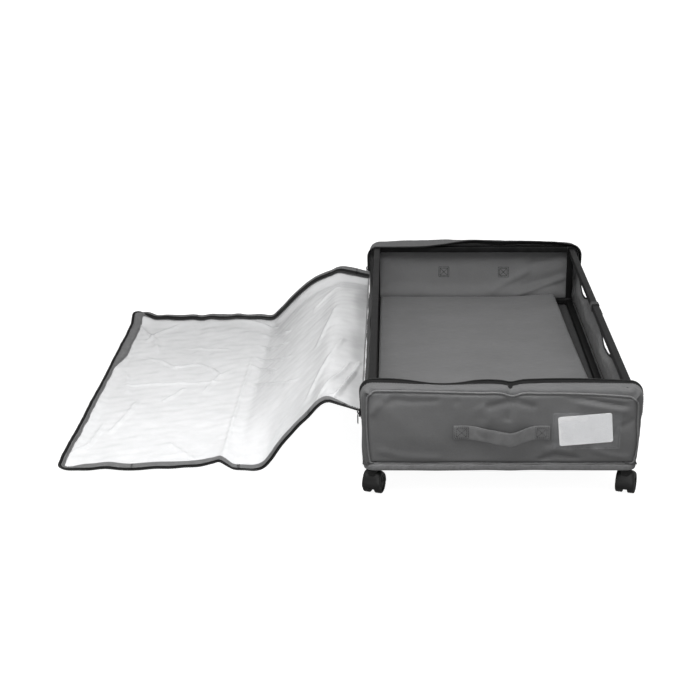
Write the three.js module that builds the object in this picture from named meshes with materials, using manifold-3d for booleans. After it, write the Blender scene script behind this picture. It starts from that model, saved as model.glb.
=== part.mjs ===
// Rolling under-bed storage bag, lid thrown open to the left and lying on the floor.
// Millimetres, +Z up, front of the bag towards -Y. Built round the bag's own centre,
// then moved so that the middle of the whole footprint is the origin.
import * as THREE from 'three';
import { mergeVertices } from 'three/addons/utils/BufferGeometryUtils.js';
import Module from 'manifold-3d';

const wasm = await Module();
wasm.setup();

// ---- driving dimensions -------------------------------------------------
const FRAME_W = 450;          // outside the side rails
const FRAME_D = 920;          // outside the front and back rails
const TUBE = 13;              // square steel tube
const TUBE_WALL = 1.3;
const FRAME_Z0 = 62;          // underside of the bottom rails
const FRAME_Z1 = 198;         // top of the top rails
const GAP = 0.3;              // between touching pieces
const PLUG = 9.8;             // connector plug, goes inside the tube
const PLUG_LEN = 22;

const CLOTH = 1.4;            // bag fabric with its lining
const BAG_HX = 235.7;         // half width outside the side walls
const BAG_HY = 478;           // half length outside the end panels
const WELT_Z = 48;            // bottom edge of the bound seam all round
const FLOOR_Z = 59.6;         // underside of the bag floor
const END_TOP_Z = 198.8;      // top edge of the end panels
const GUSSET_TOP_Z = 200.5;
const ZIP_Y = 444.5;          // half length between the zippers of the two end gussets
const LEFT_WALL_Z = 134.5;
const RIGHT_WALL_Z = 128;

const BOARD = { x0: -211, x1: 197, hy: 443, z0: 75.6, z1: 82.6 };

const STRAP_W = 26;
const STRAP_T = 2;
const HANDLE = { x0: -80, x1: 83, z: 122.5, bow: 15, stitch: 26 };

const POCKET = { x0: 87, x1: 203, z0: 94, z1: 158, border: 6 };
const CARD = { w: 92, h: 55, t: 0.6, x: 98, z: 100.6 };

const LID_T = 1;              // clear sheet with its bound edge
const SEAM = { x: -237.4, z: 137.5 };
const LID_TOP_Z = 202.2;      // lid's middle plane when closed
const LID_HY = 444;
const FLAP_HY = 433;          // hinge flap clears the zip sliders
const FLAP_ANGLE = 165;       // open directions, degrees from +X towards +Z
const SLOPE_ANGLE = 222;
const FLOOR_LID_Z = 1.1;
const SKIRT = 66;
const FOLD_STRIP = 10;
const LID_SWAY = 50;          // how far the open lid lies towards the back
const FOLD_GAP = 1;

const WHEEL_R = 17;
const WHEEL_W = 12;
const WHEEL_X0 = 4.5;         // inner face of each wheel from the castor's middle
const TRAIL = 9.5;
const AXLE_R = 2.5;
const STEM_R = 3.5;
const SWIVEL = -18;           // degrees, all castors stand the same way

// ---- materials ----------------------------------------------------------
const mat = (color, roughness, metalness = 0) => new THREE.MeshStandardMaterial({ color, roughness, metalness });
const FABRIC = mat(0x5e5f61, 0.9);
const STRAP = mat(0x55565a, 0.85);
const BOARD_CLOTH = mat(0x6b6c6e, 0.95);
const STEEL = mat(0x1b1c1e, 0.45, 0.6);
const PLASTIC = mat(0x121314, 0.5);
const RUBBER = mat(0x1a1a1b, 0.7);
const ZINC = mat(0x8d8f93, 0.35, 0.9);
const SHEET = mat(0xe4e6e8, 0.3);
const CARD_PAPER = mat(0xf5f5f3, 0.9);
const CLEAR = mat(0xd9dcdf, 0.25);
const ZIP_METAL = mat(0x1f2022, 0.4, 0.7);

// ---- helpers ------------------------------------------------------------
const root = new THREE.Group();
root.name = 'underbed_storage_bag';
const deg = (a) => a * Math.PI / 180;

function add(name, geometry, material) {
  const mesh = new THREE.Mesh(geometry, material);
  mesh.name = name;
  root.add(mesh);
  return mesh;
}

// box from its two corners
function box(lo, hi) {
  const g = new THREE.BoxGeometry(hi[0] - lo[0], hi[1] - lo[1], hi[2] - lo[2]);
  g.translate((lo[0] + hi[0]) / 2, (lo[1] + hi[1]) / 2, (lo[2] + hi[2]) / 2);
  return g;
}

function solid(geometry) {
  const g = new THREE.BufferGeometry();
  g.setAttribute('position', geometry.getAttribute('position').clone());
  if (geometry.index) {
    g.setIndex(geometry.index.clone());
  }
  const welded = mergeVertices(g, 1e-4);
  const mesh = new wasm.Mesh({
    numProp: 3,
    vertProperties: new Float32Array(welded.getAttribute('position').array),
    triVerts: new Uint32Array(welded.index.array),
  });
  return new wasm.Manifold(mesh);
}

function geometryOf(manifold) {
  const m = manifold.getMesh();
  const g = new THREE.BufferGeometry();
  g.setAttribute('position', new THREE.BufferAttribute(new Float32Array(m.vertProperties), 3));
  g.setIndex(new THREE.BufferAttribute(new Uint32Array(m.triVerts), 1));
  const flat = g.toNonIndexed();
  flat.computeVertexNormals();
  return flat;
}

function join(parts, cuts = []) {
  let s = solid(parts[0]);
  for (const p of parts.slice(1)) {
    s = s.add(solid(p));
  }
  for (const c of cuts) {
    s = s.subtract(solid(c));
  }
  return geometryOf(s);
}

// square tube along one axis, between two ends, centred on the other two
function tube(axis, from, to, centre) {
  const h = TUBE / 2;
  const i = h - TUBE_WALL;
  const shape = new THREE.Shape();
  shape.moveTo(-h, -h).lineTo(h, -h).lineTo(h, h).lineTo(-h, h).closePath();
  const hole = new THREE.Path();
  hole.moveTo(-i, -i).lineTo(-i, i).lineTo(i, i).lineTo(i, -i).closePath();
  shape.holes.push(hole);
  const g = new THREE.ExtrudeGeometry(shape, { depth: to - from, bevelEnabled: false });
  g.translate(0, 0, from);
  if (axis === 'x') {
    g.rotateY(Math.PI / 2);
  }
  if (axis === 'y') {
    g.rotateX(-Math.PI / 2);
  }
  g.translate(centre[0], centre[1], centre[2]);
  return g;
}

function cylinder(r, z0, z1, x = 0, y = 0, segments = 24) {
  const g = new THREE.CylinderGeometry(r, r, z1 - z0, segments);
  g.rotateX(Math.PI / 2);
  g.translate(x, y, (z0 + z1) / 2);
  return g;
}

// ---- steel frame --------------------------------------------------------
const CX = FRAME_W / 2 - TUBE / 2;      // tube middles
const CY = FRAME_D / 2 - TUBE / 2;
const LEVELS = { bottom: FRAME_Z0 + TUBE / 2, top: FRAME_Z1 - TUBE / 2 };
const BLOCK = TUBE / 2;                 // half a corner block

for (const [level, z] of Object.entries(LEVELS)) {
  for (const [side, s] of [['left', -1], ['right', 1]]) {
    const end = CY - BLOCK - GAP;
    add(`${level}_rail_${side}`, tube('y', -end, end, [s * CX, 0, z]), STEEL);
  }
  for (const [side, s] of [['front', -1], ['back', 1]]) {
    const end = CX - BLOCK - GAP;
    add(`${level}_rail_${side}`, tube('x', -end, end, [0, s * CY, z]), STEEL);
  }
}

const CORNERS = [['fl', -1, -1], ['fr', 1, -1], ['bl', -1, 1], ['br', 1, 1]];
for (const [tag, sx, sy] of CORNERS) {
  const z0 = LEVELS.bottom + BLOCK + GAP;
  const z1 = LEVELS.top - BLOCK - GAP;
  add(`corner_post_${tag}`, tube('z', z0, z1, [sx * CX, sy * CY, 0]), STEEL);
}

// three-way plastic corner: a block with a plug into each of its tubes
function connector(sx, sy, sz) {
  const x = sx * CX;
  const y = sy * CY;
  const z = sz < 0 ? LEVELS.bottom : LEVELS.top;
  const b = BLOCK;
  const p = PLUG / 2;
  const reach = BLOCK + PLUG_LEN;
  const span = (c, s) => (s > 0 ? [c - reach, c] : [c, c + reach]);
  const [x0, x1] = span(x, sx);
  const [y0, y1] = span(y, sy);
  const [z0, z1] = span(z, sz);
  const parts = [
    box([x - b, y - b, z - b], [x + b, y + b, z + b]),
    box([x0, y - p, z - p], [x1, y + p, z + p]),
    box([x - p, y0, z - p], [x + p, y1, z + p]),
    box([x - p, y - p, z0], [x + p, y + p, z1]),
  ];
  const cuts = sz < 0 ? [cylinder(STEM_R + GAP, FRAME_Z0 - 1, STEM_TOP + 0.6, x, y, 16)] : [];
  return join(parts, cuts);
}

const STEM_TOP = 88;
for (const [tag, sx, sy] of CORNERS) {
  add(`top_connector_${tag}`, connector(sx, sy, 1), PLASTIC);
  add(`bottom_connector_${tag}`, connector(sx, sy, -1), PLASTIC);
}

// fabric loop that ties the right wall's zipper edge to its rail, near the middle
function railLoop() {
  const o = TUBE / 2 + 1.6;
  const i = TUBE / 2 + GAP;
  const y0 = 10;
  const y1 = 26;
  const z = LEVELS.top;
  const outer = box([CX - o, y0, z - o], [CX + o, y1, z + o]);
  const inner = box([CX - i, y0 - 1, z - i], [CX + i, y1 + 1, z + i]);
  return join([outer], [inner]);
}
add('rail_loop_right', railLoop(), FABRIC);

// ---- castors ------------------------------------------------------------
const HOOD_R = WHEEL_R + 3.2;
const HOOD_IN = WHEEL_R + 0.9;
const HOOD_TOP = 47;
const NECK_TOP = 56;

// twin-wheel castor hood, stem axis on the origin, wheels trailing towards +Y
function hood() {
  const arc = new THREE.Shape();
  arc.absarc(0, 0, HOOD_R, deg(12), deg(168), false);
  arc.absarc(0, 0, HOOD_IN, deg(168), deg(12), true);
  arc.closePath();
  const width = 2 * (WHEEL_X0 + WHEEL_W);
  const fender = new THREE.ExtrudeGeometry(arc, { depth: width, bevelEnabled: false, curveSegments: 9 });
  fender.translate(0, 0, -width / 2);
  fender.rotateX(Math.PI / 2);
  fender.rotateZ(Math.PI / 2);
  fender.translate(0, TRAIL, WHEEL_R);
  const shoulders = new THREE.Shape();
  shoulders.moveTo(-width / 2, 0).lineTo(width / 2, 0).lineTo(width / 2, 26);
  shoulders.absellipse(width / 2 - 11, 26, 11, HOOD_TOP - 26, 0, Math.PI / 2, false);
  shoulders.absellipse(11 - width / 2, 26, 11, HOOD_TOP - 26, Math.PI / 2, Math.PI, false);
  shoulders.closePath();
  const mask = new THREE.ExtrudeGeometry(shoulders, { depth: 80, bevelEnabled: false, curveSegments: 6 });
  mask.rotateX(Math.PI / 2);
  mask.translate(0, 50, 0);
  const web = new THREE.Shape();
  web.moveTo(-HOOD_R + 3, -2);
  web.absarc(0, 0, HOOD_R - 0.6, deg(175), deg(8), true);
  web.lineTo(HOOD_R - 4, -3);
  web.absarc(0, 0, 6, deg(-30), deg(-150), true);
  web.closePath();
  const webWidth = 2 * (WHEEL_X0 - 0.7);
  const middle = new THREE.ExtrudeGeometry(web, { depth: webWidth, bevelEnabled: false, curveSegments: 8 });
  middle.translate(0, 0, -webWidth / 2);
  middle.rotateX(Math.PI / 2);
  middle.rotateZ(Math.PI / 2);
  middle.translate(0, TRAIL, WHEEL_R);
  const cap = new THREE.SphereGeometry(11.5, 14, 8);
  cap.scale(1, 1, 0.95);
  cap.translate(0, 0, HOOD_TOP - 11.5);
  const neck = cylinder(8, 36, NECK_TOP, 0, 0, 16);
  const axle = cylinder(AXLE_R, -(WHEEL_X0 + WHEEL_W - 1), WHEEL_X0 + WHEEL_W - 1, 0, 0, 16);
  axle.rotateY(Math.PI / 2);
  axle.translate(0, TRAIL, WHEEL_R);
  const wells = [-1, 1].map((s) => {
    const x0 = WHEEL_X0 - 0.7;
    const x1 = WHEEL_X0 + WHEEL_W + 2;
    const well = cylinder(HOOD_IN, s > 0 ? x0 : -x1, s > 0 ? x1 : -x0, 0, 0, 28);
    well.rotateY(Math.PI / 2);
    well.translate(0, TRAIL, WHEEL_R);
    return well;
  });
  const bore = cylinder(STEM_R + GAP, 39, NECK_TOP + 1, 0, 0, 16);
  let s = solid(middle).add(solid(cap)).add(solid(neck)).subtract(solid(wells[0])).subtract(solid(wells[1]));
  s = s.add(solid(fender).intersect(solid(mask))).add(solid(axle)).subtract(solid(bore));
  return geometryOf(s);
}

// one wheel about the X axis, hub recess on the outside
function wheel(sign) {
  const bore = AXLE_R + GAP;
  const profile = [
    [bore, 0], [WHEEL_R, 0], [WHEEL_R, WHEEL_W - 2.5], [WHEEL_R - 2.5, WHEEL_W],
    [WHEEL_R - 5, WHEEL_W], [WHEEL_R - 6, WHEEL_W - 1.5], [bore, WHEEL_W - 1.5], [bore, 0],
  ];
  const points = profile.map(([r, x]) => new THREE.Vector2(r, x));
  const g = new THREE.LatheGeometry(points, 20);
  g.translate(0, WHEEL_X0, 0);
  g.rotateZ(sign > 0 ? -Math.PI / 2 : Math.PI / 2);
  g.translate(0, TRAIL, WHEEL_R);
  return g;
}

function place(geometry, sx, sy) {
  geometry.rotateZ(deg(SWIVEL));
  geometry.translate(sx * CX, sy * CY, 0);
  return geometry;
}

for (const [tag, sx, sy] of CORNERS) {
  add(`castor_${tag}_stem`, cylinder(STEM_R, 40, STEM_TOP, sx * CX, sy * CY, 16), ZINC);
  add(`castor_${tag}_hood`, place(hood(), sx, sy), PLASTIC);
  add(`castor_${tag}_wheel_l`, place(wheel(-1), sx, sy), RUBBER);
  add(`castor_${tag}_wheel_r`, place(wheel(1), sx, sy), RUBBER);
}

// ---- bag fabric ---------------------------------------------------------
const WALL_IN = BAG_HX - CLOTH;

function bagFloor() {
  const hx = WALL_IN - GAP;
  const hy = BAG_HY - CLOTH - GAP;
  const holes = CORNERS.map(([, sx, sy]) => cylinder(10, FLOOR_Z - 1, FLOOR_Z + 3, sx * CX, sy * CY, 20));
  return join([box([-hx, -hy, FLOOR_Z], [hx, hy, FLOOR_Z + CLOTH])], holes);
}
add('bag_floor', bagFloor(), FABRIC);

const endX = WALL_IN - GAP;
add('front_panel', box([-endX, -BAG_HY, WELT_Z], [endX, -BAG_HY + CLOTH, END_TOP_Z]), FABRIC);
add('back_panel', box([-endX, BAG_HY - CLOTH, WELT_Z], [endX, BAG_HY, END_TOP_Z]), FABRIC);
add('left_wall', box([-BAG_HX, -ZIP_Y + GAP, WELT_Z], [-WALL_IN, ZIP_Y - GAP, LEFT_WALL_Z]), FABRIC);
add('right_wall', box([WALL_IN, -ZIP_Y + GAP, WELT_Z], [BAG_HX, ZIP_Y - GAP, RIGHT_WALL_Z]), FABRIC);

// strip round three sides of an end panel, its rear edge carries the zipper
function gusset(sy) {
  const o = BAG_HX;
  const i = WALL_IN;
  const ti = GUSSET_TOP_Z - CLOTH;
  const shape = new THREE.Shape();
  shape.moveTo(-o, WELT_Z).lineTo(-i, WELT_Z).lineTo(-i, ti).lineTo(i, ti);
  shape.lineTo(i, WELT_Z).lineTo(o, WELT_Z).lineTo(o, GUSSET_TOP_Z).lineTo(-o, GUSSET_TOP_Z).closePath();
  const depth = BAG_HY - ZIP_Y;
  const g = new THREE.ExtrudeGeometry(shape, { depth, bevelEnabled: false });
  g.rotateX(Math.PI / 2);
  g.translate(0, sy < 0 ? -ZIP_Y : BAG_HY, 0);
  return g;
}
add('front_gusset', gusset(-1), FABRIC);
add('back_gusset', gusset(1), FABRIC);

add('base_board', box([BOARD.x0, -BOARD.hy, BOARD.z0], [BOARD.x1, BOARD.hy, BOARD.z1]), BOARD_CLOTH);

// webbing strap with both ends sewn flat and the middle bowed off the panel
function handle(sy) {
  const { x0, x1, bow, stitch } = HANDLE;
  const inner = [];
  const outer = [];
  const n = 10;
  for (let i = 0; i <= n; i += 1) {
    const t = i / n;
    const x = x0 + stitch + t * (x1 - x0 - 2 * stitch);
    const y = bow * Math.sin(Math.PI * t) ** 0.8;
    inner.push([x, y]);
    outer.push([x, y + STRAP_T]);
  }
  const outline = [[x0, 0], ...inner, [x1, 0], [x1, STRAP_T], ...outer.reverse(), [x0, STRAP_T]];
  const shape = new THREE.Shape(outline.map(([x, y]) => new THREE.Vector2(x, y)));
  const g = new THREE.ExtrudeGeometry(shape, { depth: STRAP_W, bevelEnabled: false });
  g.translate(0, 0, HANDLE.z - STRAP_W / 2);
  if (sy < 0) {
    g.rotateX(Math.PI);
    g.translate(0, -BAG_HY - GAP, 2 * HANDLE.z);
  } else {
    g.translate(0, BAG_HY + GAP, 0);
  }
  return g;
}
add('front_handle', handle(-1), STRAP);
add('back_handle', handle(1), STRAP);

// clear pocket, open at the top, and the card in it
function pocket() {
  const { x0, x1, z0, z1, border } = POCKET;
  const back = -BAG_HY - GAP;
  const front = back - 1.6;
  const film = front + 0.5;
  return join([
    box([x0, front, z0], [x1, film, z1]),
    box([x0, front, z0], [x0 + border, back, z1]),
    box([x1 - border, front, z0], [x1, back, z1]),
    box([x0, front, z0], [x1, back, z0 + border]),
  ]);
}
add('label_pocket', pocket(), CLEAR);
const cardY = -BAG_HY - GAP;
const cardBox = box([CARD.x, cardY - CARD.t - 0.1, CARD.z], [CARD.x + CARD.w, cardY - 0.1, CARD.z + CARD.h]);
add('label_card', cardBox, CARD_PAPER);

// ---- lid ----------------------------------------------------------------
const ahead = (p, angle, d) => ({ x: p.x + d * Math.cos(deg(angle)), z: p.z + d * Math.sin(deg(angle)) });
const FLAP = LID_TOP_Z - SEAM.z;
const CROWN = ahead(SEAM, FLAP_ANGLE, FLAP);
const SLOPE = (FLOOR_LID_Z - CROWN.z) / Math.sin(deg(SLOPE_ANGLE));
const FOLD = ahead(CROWN, SLOPE_ANGLE, SLOPE);
const FAR = -2 * SEAM.x - SLOPE;
const END = { x: FOLD.x - FAR, z: FLOOR_LID_Z };

// flat panel starting at p and running d along the angle, shortened at its folds
function panel(p, angle, d, hy, sway, gapStart = FOLD_GAP, gapEnd = FOLD_GAP) {
  const g = box([gapStart, -hy + sway, -LID_T / 2], [d - gapEnd, hy + sway, LID_T / 2]);
  g.rotateY(-deg(angle));
  g.translate(p.x, 0, p.z);
  return g;
}

add('lid_hinge_flap', panel(SEAM, FLAP_ANGLE, FLAP, FLAP_HY, 0), SHEET);
add('lid_near_panel', panel(CROWN, SLOPE_ANGLE, SLOPE - FOLD_STRIP, LID_HY, 0, FOLD_GAP, GAP), SHEET);
const stripStart = ahead(CROWN, SLOPE_ANGLE, SLOPE - FOLD_STRIP);
add('lid_fold_strip', panel(stripStart, SLOPE_ANGLE, FOLD_STRIP, LID_HY, LID_SWAY, 0.2), SHEET);
add('lid_far_panel', panel(FOLD, 180, FAR, LID_HY, LID_SWAY), SHEET);
add('lid_end_skirt', panel(END, 180, SKIRT, LID_HY, LID_SWAY, FOLD_GAP, 0), SHEET);

// ---- zip sliders on the left legs of the two gussets --------------------
const SLIDER = { x0: -241.2, x1: -236, w: 9, z0: 141, z1: 154 };
const PULL = { t: 1.6, w: 7, len: 26 };
for (const [side, sy] of [['front', -1], ['back', 1]]) {
  const y = sy * ZIP_Y;
  const h = SLIDER.w / 2;
  const lug = box([SLIDER.x0 - 2.4, y - 1.2, 148], [SLIDER.x0 + 1, y + 1.2, 151.5]);
  const body = join([box([SLIDER.x0, y - h, SLIDER.z0], [SLIDER.x1, y + h, SLIDER.z1]), lug]);
  add(`zip_slider_${side}`, body, ZIP_METAL);
  const x1 = SLIDER.x0 - 0.5;
  const plate = box([x1 - PULL.t, y - PULL.w / 2, 152.8 - PULL.len], [x1, y + PULL.w / 2, 152.8]);
  const slot = box([x1 - PULL.t - 1, y - 1.7, 146.6], [x1 + 1, y + 1.7, 152]);
  add(`zip_pull_${side}`, join([plate], [slot]), ZIP_METAL);
}

// ---- origin: middle of the footprint, on the floor ----------------------
root.updateMatrixWorld(true);
const bounds = new THREE.Box3().setFromObject(root);
const shift = [-(bounds.min.x + bounds.max.x) / 2, -(bounds.min.y + bounds.max.y) / 2, -bounds.min.z];
for (const mesh of root.children) {
  mesh.geometry.translate(shift[0], shift[1], shift[2]);
}

export default root;
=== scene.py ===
import math

import bpy
import numpy as np
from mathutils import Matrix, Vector


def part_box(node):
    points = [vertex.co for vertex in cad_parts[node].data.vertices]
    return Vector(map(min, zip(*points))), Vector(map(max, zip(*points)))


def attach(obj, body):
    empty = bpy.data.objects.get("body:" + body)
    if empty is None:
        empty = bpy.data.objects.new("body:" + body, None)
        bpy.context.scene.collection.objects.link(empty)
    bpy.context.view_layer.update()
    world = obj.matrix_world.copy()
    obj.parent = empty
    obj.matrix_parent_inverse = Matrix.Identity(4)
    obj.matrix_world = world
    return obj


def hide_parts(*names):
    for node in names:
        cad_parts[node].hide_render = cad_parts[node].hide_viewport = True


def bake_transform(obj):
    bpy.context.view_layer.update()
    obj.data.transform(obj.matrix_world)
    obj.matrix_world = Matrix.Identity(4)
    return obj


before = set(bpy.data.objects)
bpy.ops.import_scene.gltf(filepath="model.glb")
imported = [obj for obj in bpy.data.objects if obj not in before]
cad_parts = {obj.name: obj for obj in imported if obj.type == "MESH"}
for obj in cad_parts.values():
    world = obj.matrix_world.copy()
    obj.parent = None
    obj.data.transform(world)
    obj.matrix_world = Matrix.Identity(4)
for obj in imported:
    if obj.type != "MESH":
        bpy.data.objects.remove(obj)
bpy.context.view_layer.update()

# Lengths below are millimetres about the bag's own centre, front towards -Y.
# row() turns them into the frame's metres.
scene = bpy.context.scene
front_box, back_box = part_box("front_gusset"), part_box("back_gusset")
CENTRE = np.array([(front_box[0].x + front_box[1].x) / 2, (front_box[0].y + back_box[1].y) / 2, 0.0])


def row(points):
    return np.asarray(points, float) * 0.001 + CENTRE


# ---- small numeric helpers ------------------------------------------------
def ease(x, a=0.0, b=1.0):
    t = np.clip((np.asarray(x, float) - a) / (b - a), 0, 1)
    return t * t * (3 - 2 * t)


def hill(x, centre, width):
    return np.exp(-((np.asarray(x, float) - centre) / width) ** 2)


def spline(x, table):
    """Smooth curve through the table's rows (x, value, ...), clamped at its ends."""
    table = np.asarray(table, float)
    xs, ys = table[:, 0], table[:, 1:]
    slope = np.gradient(ys, xs, axis=0)
    x = np.clip(np.asarray(x, float), xs[0], xs[-1])
    i = np.clip(np.searchsorted(xs, x, side="right") - 1, 0, len(xs) - 2)
    h = (xs[i + 1] - xs[i])[..., None]
    t = (x[..., None] - xs[i][..., None]) / h
    value = ((2 * t**3 - 3 * t**2 + 1) * ys[i] + (t**3 - 2 * t**2 + t) * h * slope[i]
             + (3 * t**2 - 2 * t**3) * ys[i + 1] + (t**3 - t**2) * h * slope[i + 1])
    return value[..., 0] if value.shape[-1] == 1 else value


def waves(x, y, seed, size, count=7):
    """Soft uneven rumple from a few long sine waves, about -1 to 1."""
    rng = np.random.RandomState(seed)
    out = np.zeros(np.broadcast(x, y).shape)
    for _ in range(count):
        angle, phase = rng.uniform(0, 2 * math.pi, 2)
        k = 2 * math.pi / (size * rng.uniform(0.6, 1.7))
        out += np.sin(k * (x * math.cos(angle) + y * math.sin(angle)) + phase)
    return out / math.sqrt(count * 2)


def crease(x, y, line, width, ends=0.18):
    """A ridge along a polyline: 1 on the line, 0 a few widths away, fading out at its ends."""
    line = np.asarray(line, float)
    best = np.full(np.broadcast(x, y).shape, 1e9)
    along = np.zeros_like(best)
    lengths = np.hypot(*np.diff(line, axis=0).T)
    total, done = lengths.sum(), 0.0
    for a, b, length in zip(line[:-1], line[1:], lengths):
        d = (b - a) / length
        t = np.clip((x - a[0]) * d[0] + (y - a[1]) * d[1], 0, length)
        dist = np.hypot(x - a[0] - t * d[0], y - a[1] - t * d[1])
        along = np.where(dist < best, (done + t) / total, along)
        best = np.minimum(best, dist)
        done += length
    fade = ease(along, 0, ends) * (1 - ease(along, 1 - ends, 1))
    return np.exp(-(best / width) ** 2) * fade


def unit(v):
    v = np.asarray(v, float)
    return v / (np.linalg.norm(v, axis=-1, keepdims=True) + 1e-12)


def grid_normals(P):
    return unit(np.cross(np.gradient(P, axis=0), np.gradient(P, axis=1)))


def lengths_along(P, axis):
    step = np.linalg.norm(np.diff(P, axis=axis), axis=2)
    pad = [(0, 0), (0, 0)]
    pad[axis] = (1, 0)
    return np.cumsum(np.pad(step, pad), axis=axis)


def path_length(points):
    """Distance from a path's start to each of its points."""
    return np.concatenate([[0], np.cumsum(np.hypot(*np.diff(points, axis=0).T))])


def resampled(points, count=None, closed=False):
    """Evenly spaced points on a flat path, one per millimetre unless a count is given."""
    p = np.asarray(points, float)
    d = path_length(p)
    s = np.linspace(0, d[-1], count or int(d[-1]) + 1, endpoint=not closed)
    return np.interp(s, d, p[:, 0]), np.interp(s, d, p[:, 1]), s


def refined(points, times):
    """The same path with each of its steps divided."""
    fine = np.linspace(0, len(points) - 1, (len(points) - 1) * times + 1)
    return np.stack([np.interp(fine, np.arange(len(points)), points[:, k]) for k in range(3)], 1)


def point_at(s, distances, table):
    return np.array([np.interp(s, distances, table[:, k]) for k in range(3)])


def frames_along(points, closed=False, up=None):
    """Tangent and two cross directions along a path, without twist."""
    p = np.asarray(points, float)
    if closed:
        tangent = unit(np.roll(p, -1, 0) - np.roll(p, 1, 0))
    else:
        tangent = unit(np.gradient(p, axis=0))
    side = np.empty_like(p)
    first = np.array(up if up is not None else (0.3, 0.2, 1.0), float)
    side[0] = unit(first - tangent[0] * first.dot(tangent[0]))
    for i in range(1, len(p)):
        s = side[i - 1] - tangent[i] * side[i - 1].dot(tangent[i])
        side[i] = unit(s)
    return tangent, side, np.cross(tangent, side)


# ---- mesh building --------------------------------------------------------
class Shape:
    """Collects pieces of one mesh, each with its own material index and UVs in metres."""

    def __init__(self):
        self.verts, self.faces, self.uvs, self.mats = [], [], [], []
        self.count = 0

    def put(self, verts, faces, uv=None, mat=0):
        verts = np.asarray(verts, float).reshape(-1, 3)
        if uv is None:
            uv = np.stack([verts[:, 0] + verts[:, 1], verts[:, 2]], 1)
        self.verts.append(verts)
        self.uvs.append(np.asarray(uv, float).reshape(-1, 2) * 0.001)
        self.faces += [tuple(int(i) + self.count for i in f) for f in faces]
        self.mats += [mat] * len(faces)
        self.count += len(verts)
        return self

    def slab(self, top, bottom, mat=0, uv=None):
        """Closed piece between two grids, top facing along du x dv."""
        n, m = top.shape[:2]
        if uv is None:
            uv = np.stack([lengths_along(top, 0), lengths_along(top, 1)], 2)
        ids = np.arange(n * m).reshape(n, m)
        low = ids + n * m
        a, b, c, d = ids[:-1, :-1], ids[1:, :-1], ids[1:, 1:], ids[:-1, 1:]
        faces = [np.stack([a, b, c, d], -1).reshape(-1, 4),
                 np.stack([a, d, c, b], -1).reshape(-1, 4) + n * m]
        for o, i in ((ids[::-1, 0], low[::-1, 0]), (ids[:, -1], low[:, -1]),
                     (ids[0], low[0]), (ids[-1, ::-1], low[-1, ::-1])):
            faces.append(np.stack([o[:-1], o[1:], i[1:], i[:-1]], -1))
        return self.put(np.concatenate([top.reshape(-1, 3), bottom.reshape(-1, 3)]),
                        np.concatenate(faces).tolist(), np.concatenate([uv.reshape(-1, 2)] * 2), mat)

    def skin(self, P, thick=1.3, mat=0, normals=None, uv=None):
        """Cloth of one thickness whose outer face is the grid P."""
        N = grid_normals(P) if normals is None else normals
        return self.slab(P, P - N * thick, mat, uv)

    def loft(self, rings, closed_path=False, closed_ring=True, caps=True, mat=0):
        """Faces between rings of equal length, each ring one cross-section."""
        R = np.asarray(rings, float)
        n, m = R.shape[:2]
        ids = np.arange(n * m).reshape(n, m)
        if closed_path:
            ids = np.vstack([ids, ids[:1]])
        if closed_ring:
            ids = np.hstack([ids, ids[:, :1]])
        a, b, c, d = ids[:-1, :-1], ids[1:, :-1], ids[1:, 1:], ids[:-1, 1:]
        faces = np.stack([a, b, c, d], -1).reshape(-1, 4).tolist()
        if caps and not closed_path and closed_ring:
            faces.append(list(range(m)))
            faces.append([(n - 1) * m + i for i in range(m)][::-1])
        uv = np.stack([lengths_along(R, 1), lengths_along(R, 0)], 2)
        return self.put(R, faces, uv, mat)

    def pipe(self, points, radius, sides=8, closed=False, mat=0, flat=1.0, up=None):
        p = np.asarray(points, float)
        _, s, t = frames_along(p, closed, up)
        r = np.broadcast_to(np.asarray(radius, float), (len(p),))[:, None, None]
        a = -np.linspace(0, 2 * math.pi, sides, endpoint=False)
        ring = np.cos(a)[None, :, None] * s[:, None] * flat + np.sin(a)[None, :, None] * t[:, None]
        return self.loft(p[:, None] + ring * r, closed_path=closed, mat=mat)

    def lathe(self, profile, centre, axis, across, segments=32, mat=0, closed_profile=False):
        """Turned piece: profile rows are (radius, distance along the axis)."""
        axis, across = unit(axis), unit(across)
        other = np.cross(axis, across)
        prof = np.asarray(profile, float)
        a = np.linspace(0, 2 * math.pi, segments, endpoint=False)
        around = np.cos(a)[:, None] * across + np.sin(a)[:, None] * other
        rings = (np.asarray(centre, float) + prof[:, 0][:, None, None] * around[None]
                 + prof[:, 1][:, None, None] * axis)
        return self.loft(rings, closed_path=closed_profile, mat=mat)

    def prism(self, outline, depth, mat=0):
        """Outline (n,3) extruded by the vector depth, with flat ends."""
        o = np.asarray(outline, float)
        n = len(o)
        faces = [list(range(n))[::-1], list(range(n, 2 * n))]
        faces += [[i, (i + 1) % n, n + (i + 1) % n, n + i] for i in range(n)]
        return self.put(np.vstack([o, o + np.asarray(depth, float)]), faces, None, mat)

    def rounded_box(self, lo, hi, radius, steps=3, mat=0):
        """Box with rounded edges and corners."""
        lo, hi = np.asarray(lo, float), np.asarray(hi, float)
        a = np.linspace(0, math.pi / 2, steps + 1)
        ring = []
        for k in range(4):
            ring += [(math.cos(t + k * math.pi / 2), math.sin(t + k * math.pi / 2), k) for t in a]
        rings = []
        lower, upper = np.linspace(-math.pi / 2, 0, steps + 1), np.linspace(0, math.pi / 2, steps + 1)
        for end, angles in ((0, lower), (1, upper)):
            for t in angles:
                z = (hi[2] - radius if end else lo[2] + radius) + radius * math.sin(t)
                r = radius * math.cos(t)
                pts = []
                for cx, cy, k in ring:
                    corner_x = hi[0] - radius if k in (0, 3) else lo[0] + radius
                    corner_y = hi[1] - radius if k in (0, 1) else lo[1] + radius
                    pts.append((corner_x + r * cx, corner_y + r * cy, z))
                rings.append(pts)
        return self.loft(np.array(rings), mat=mat)

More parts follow.
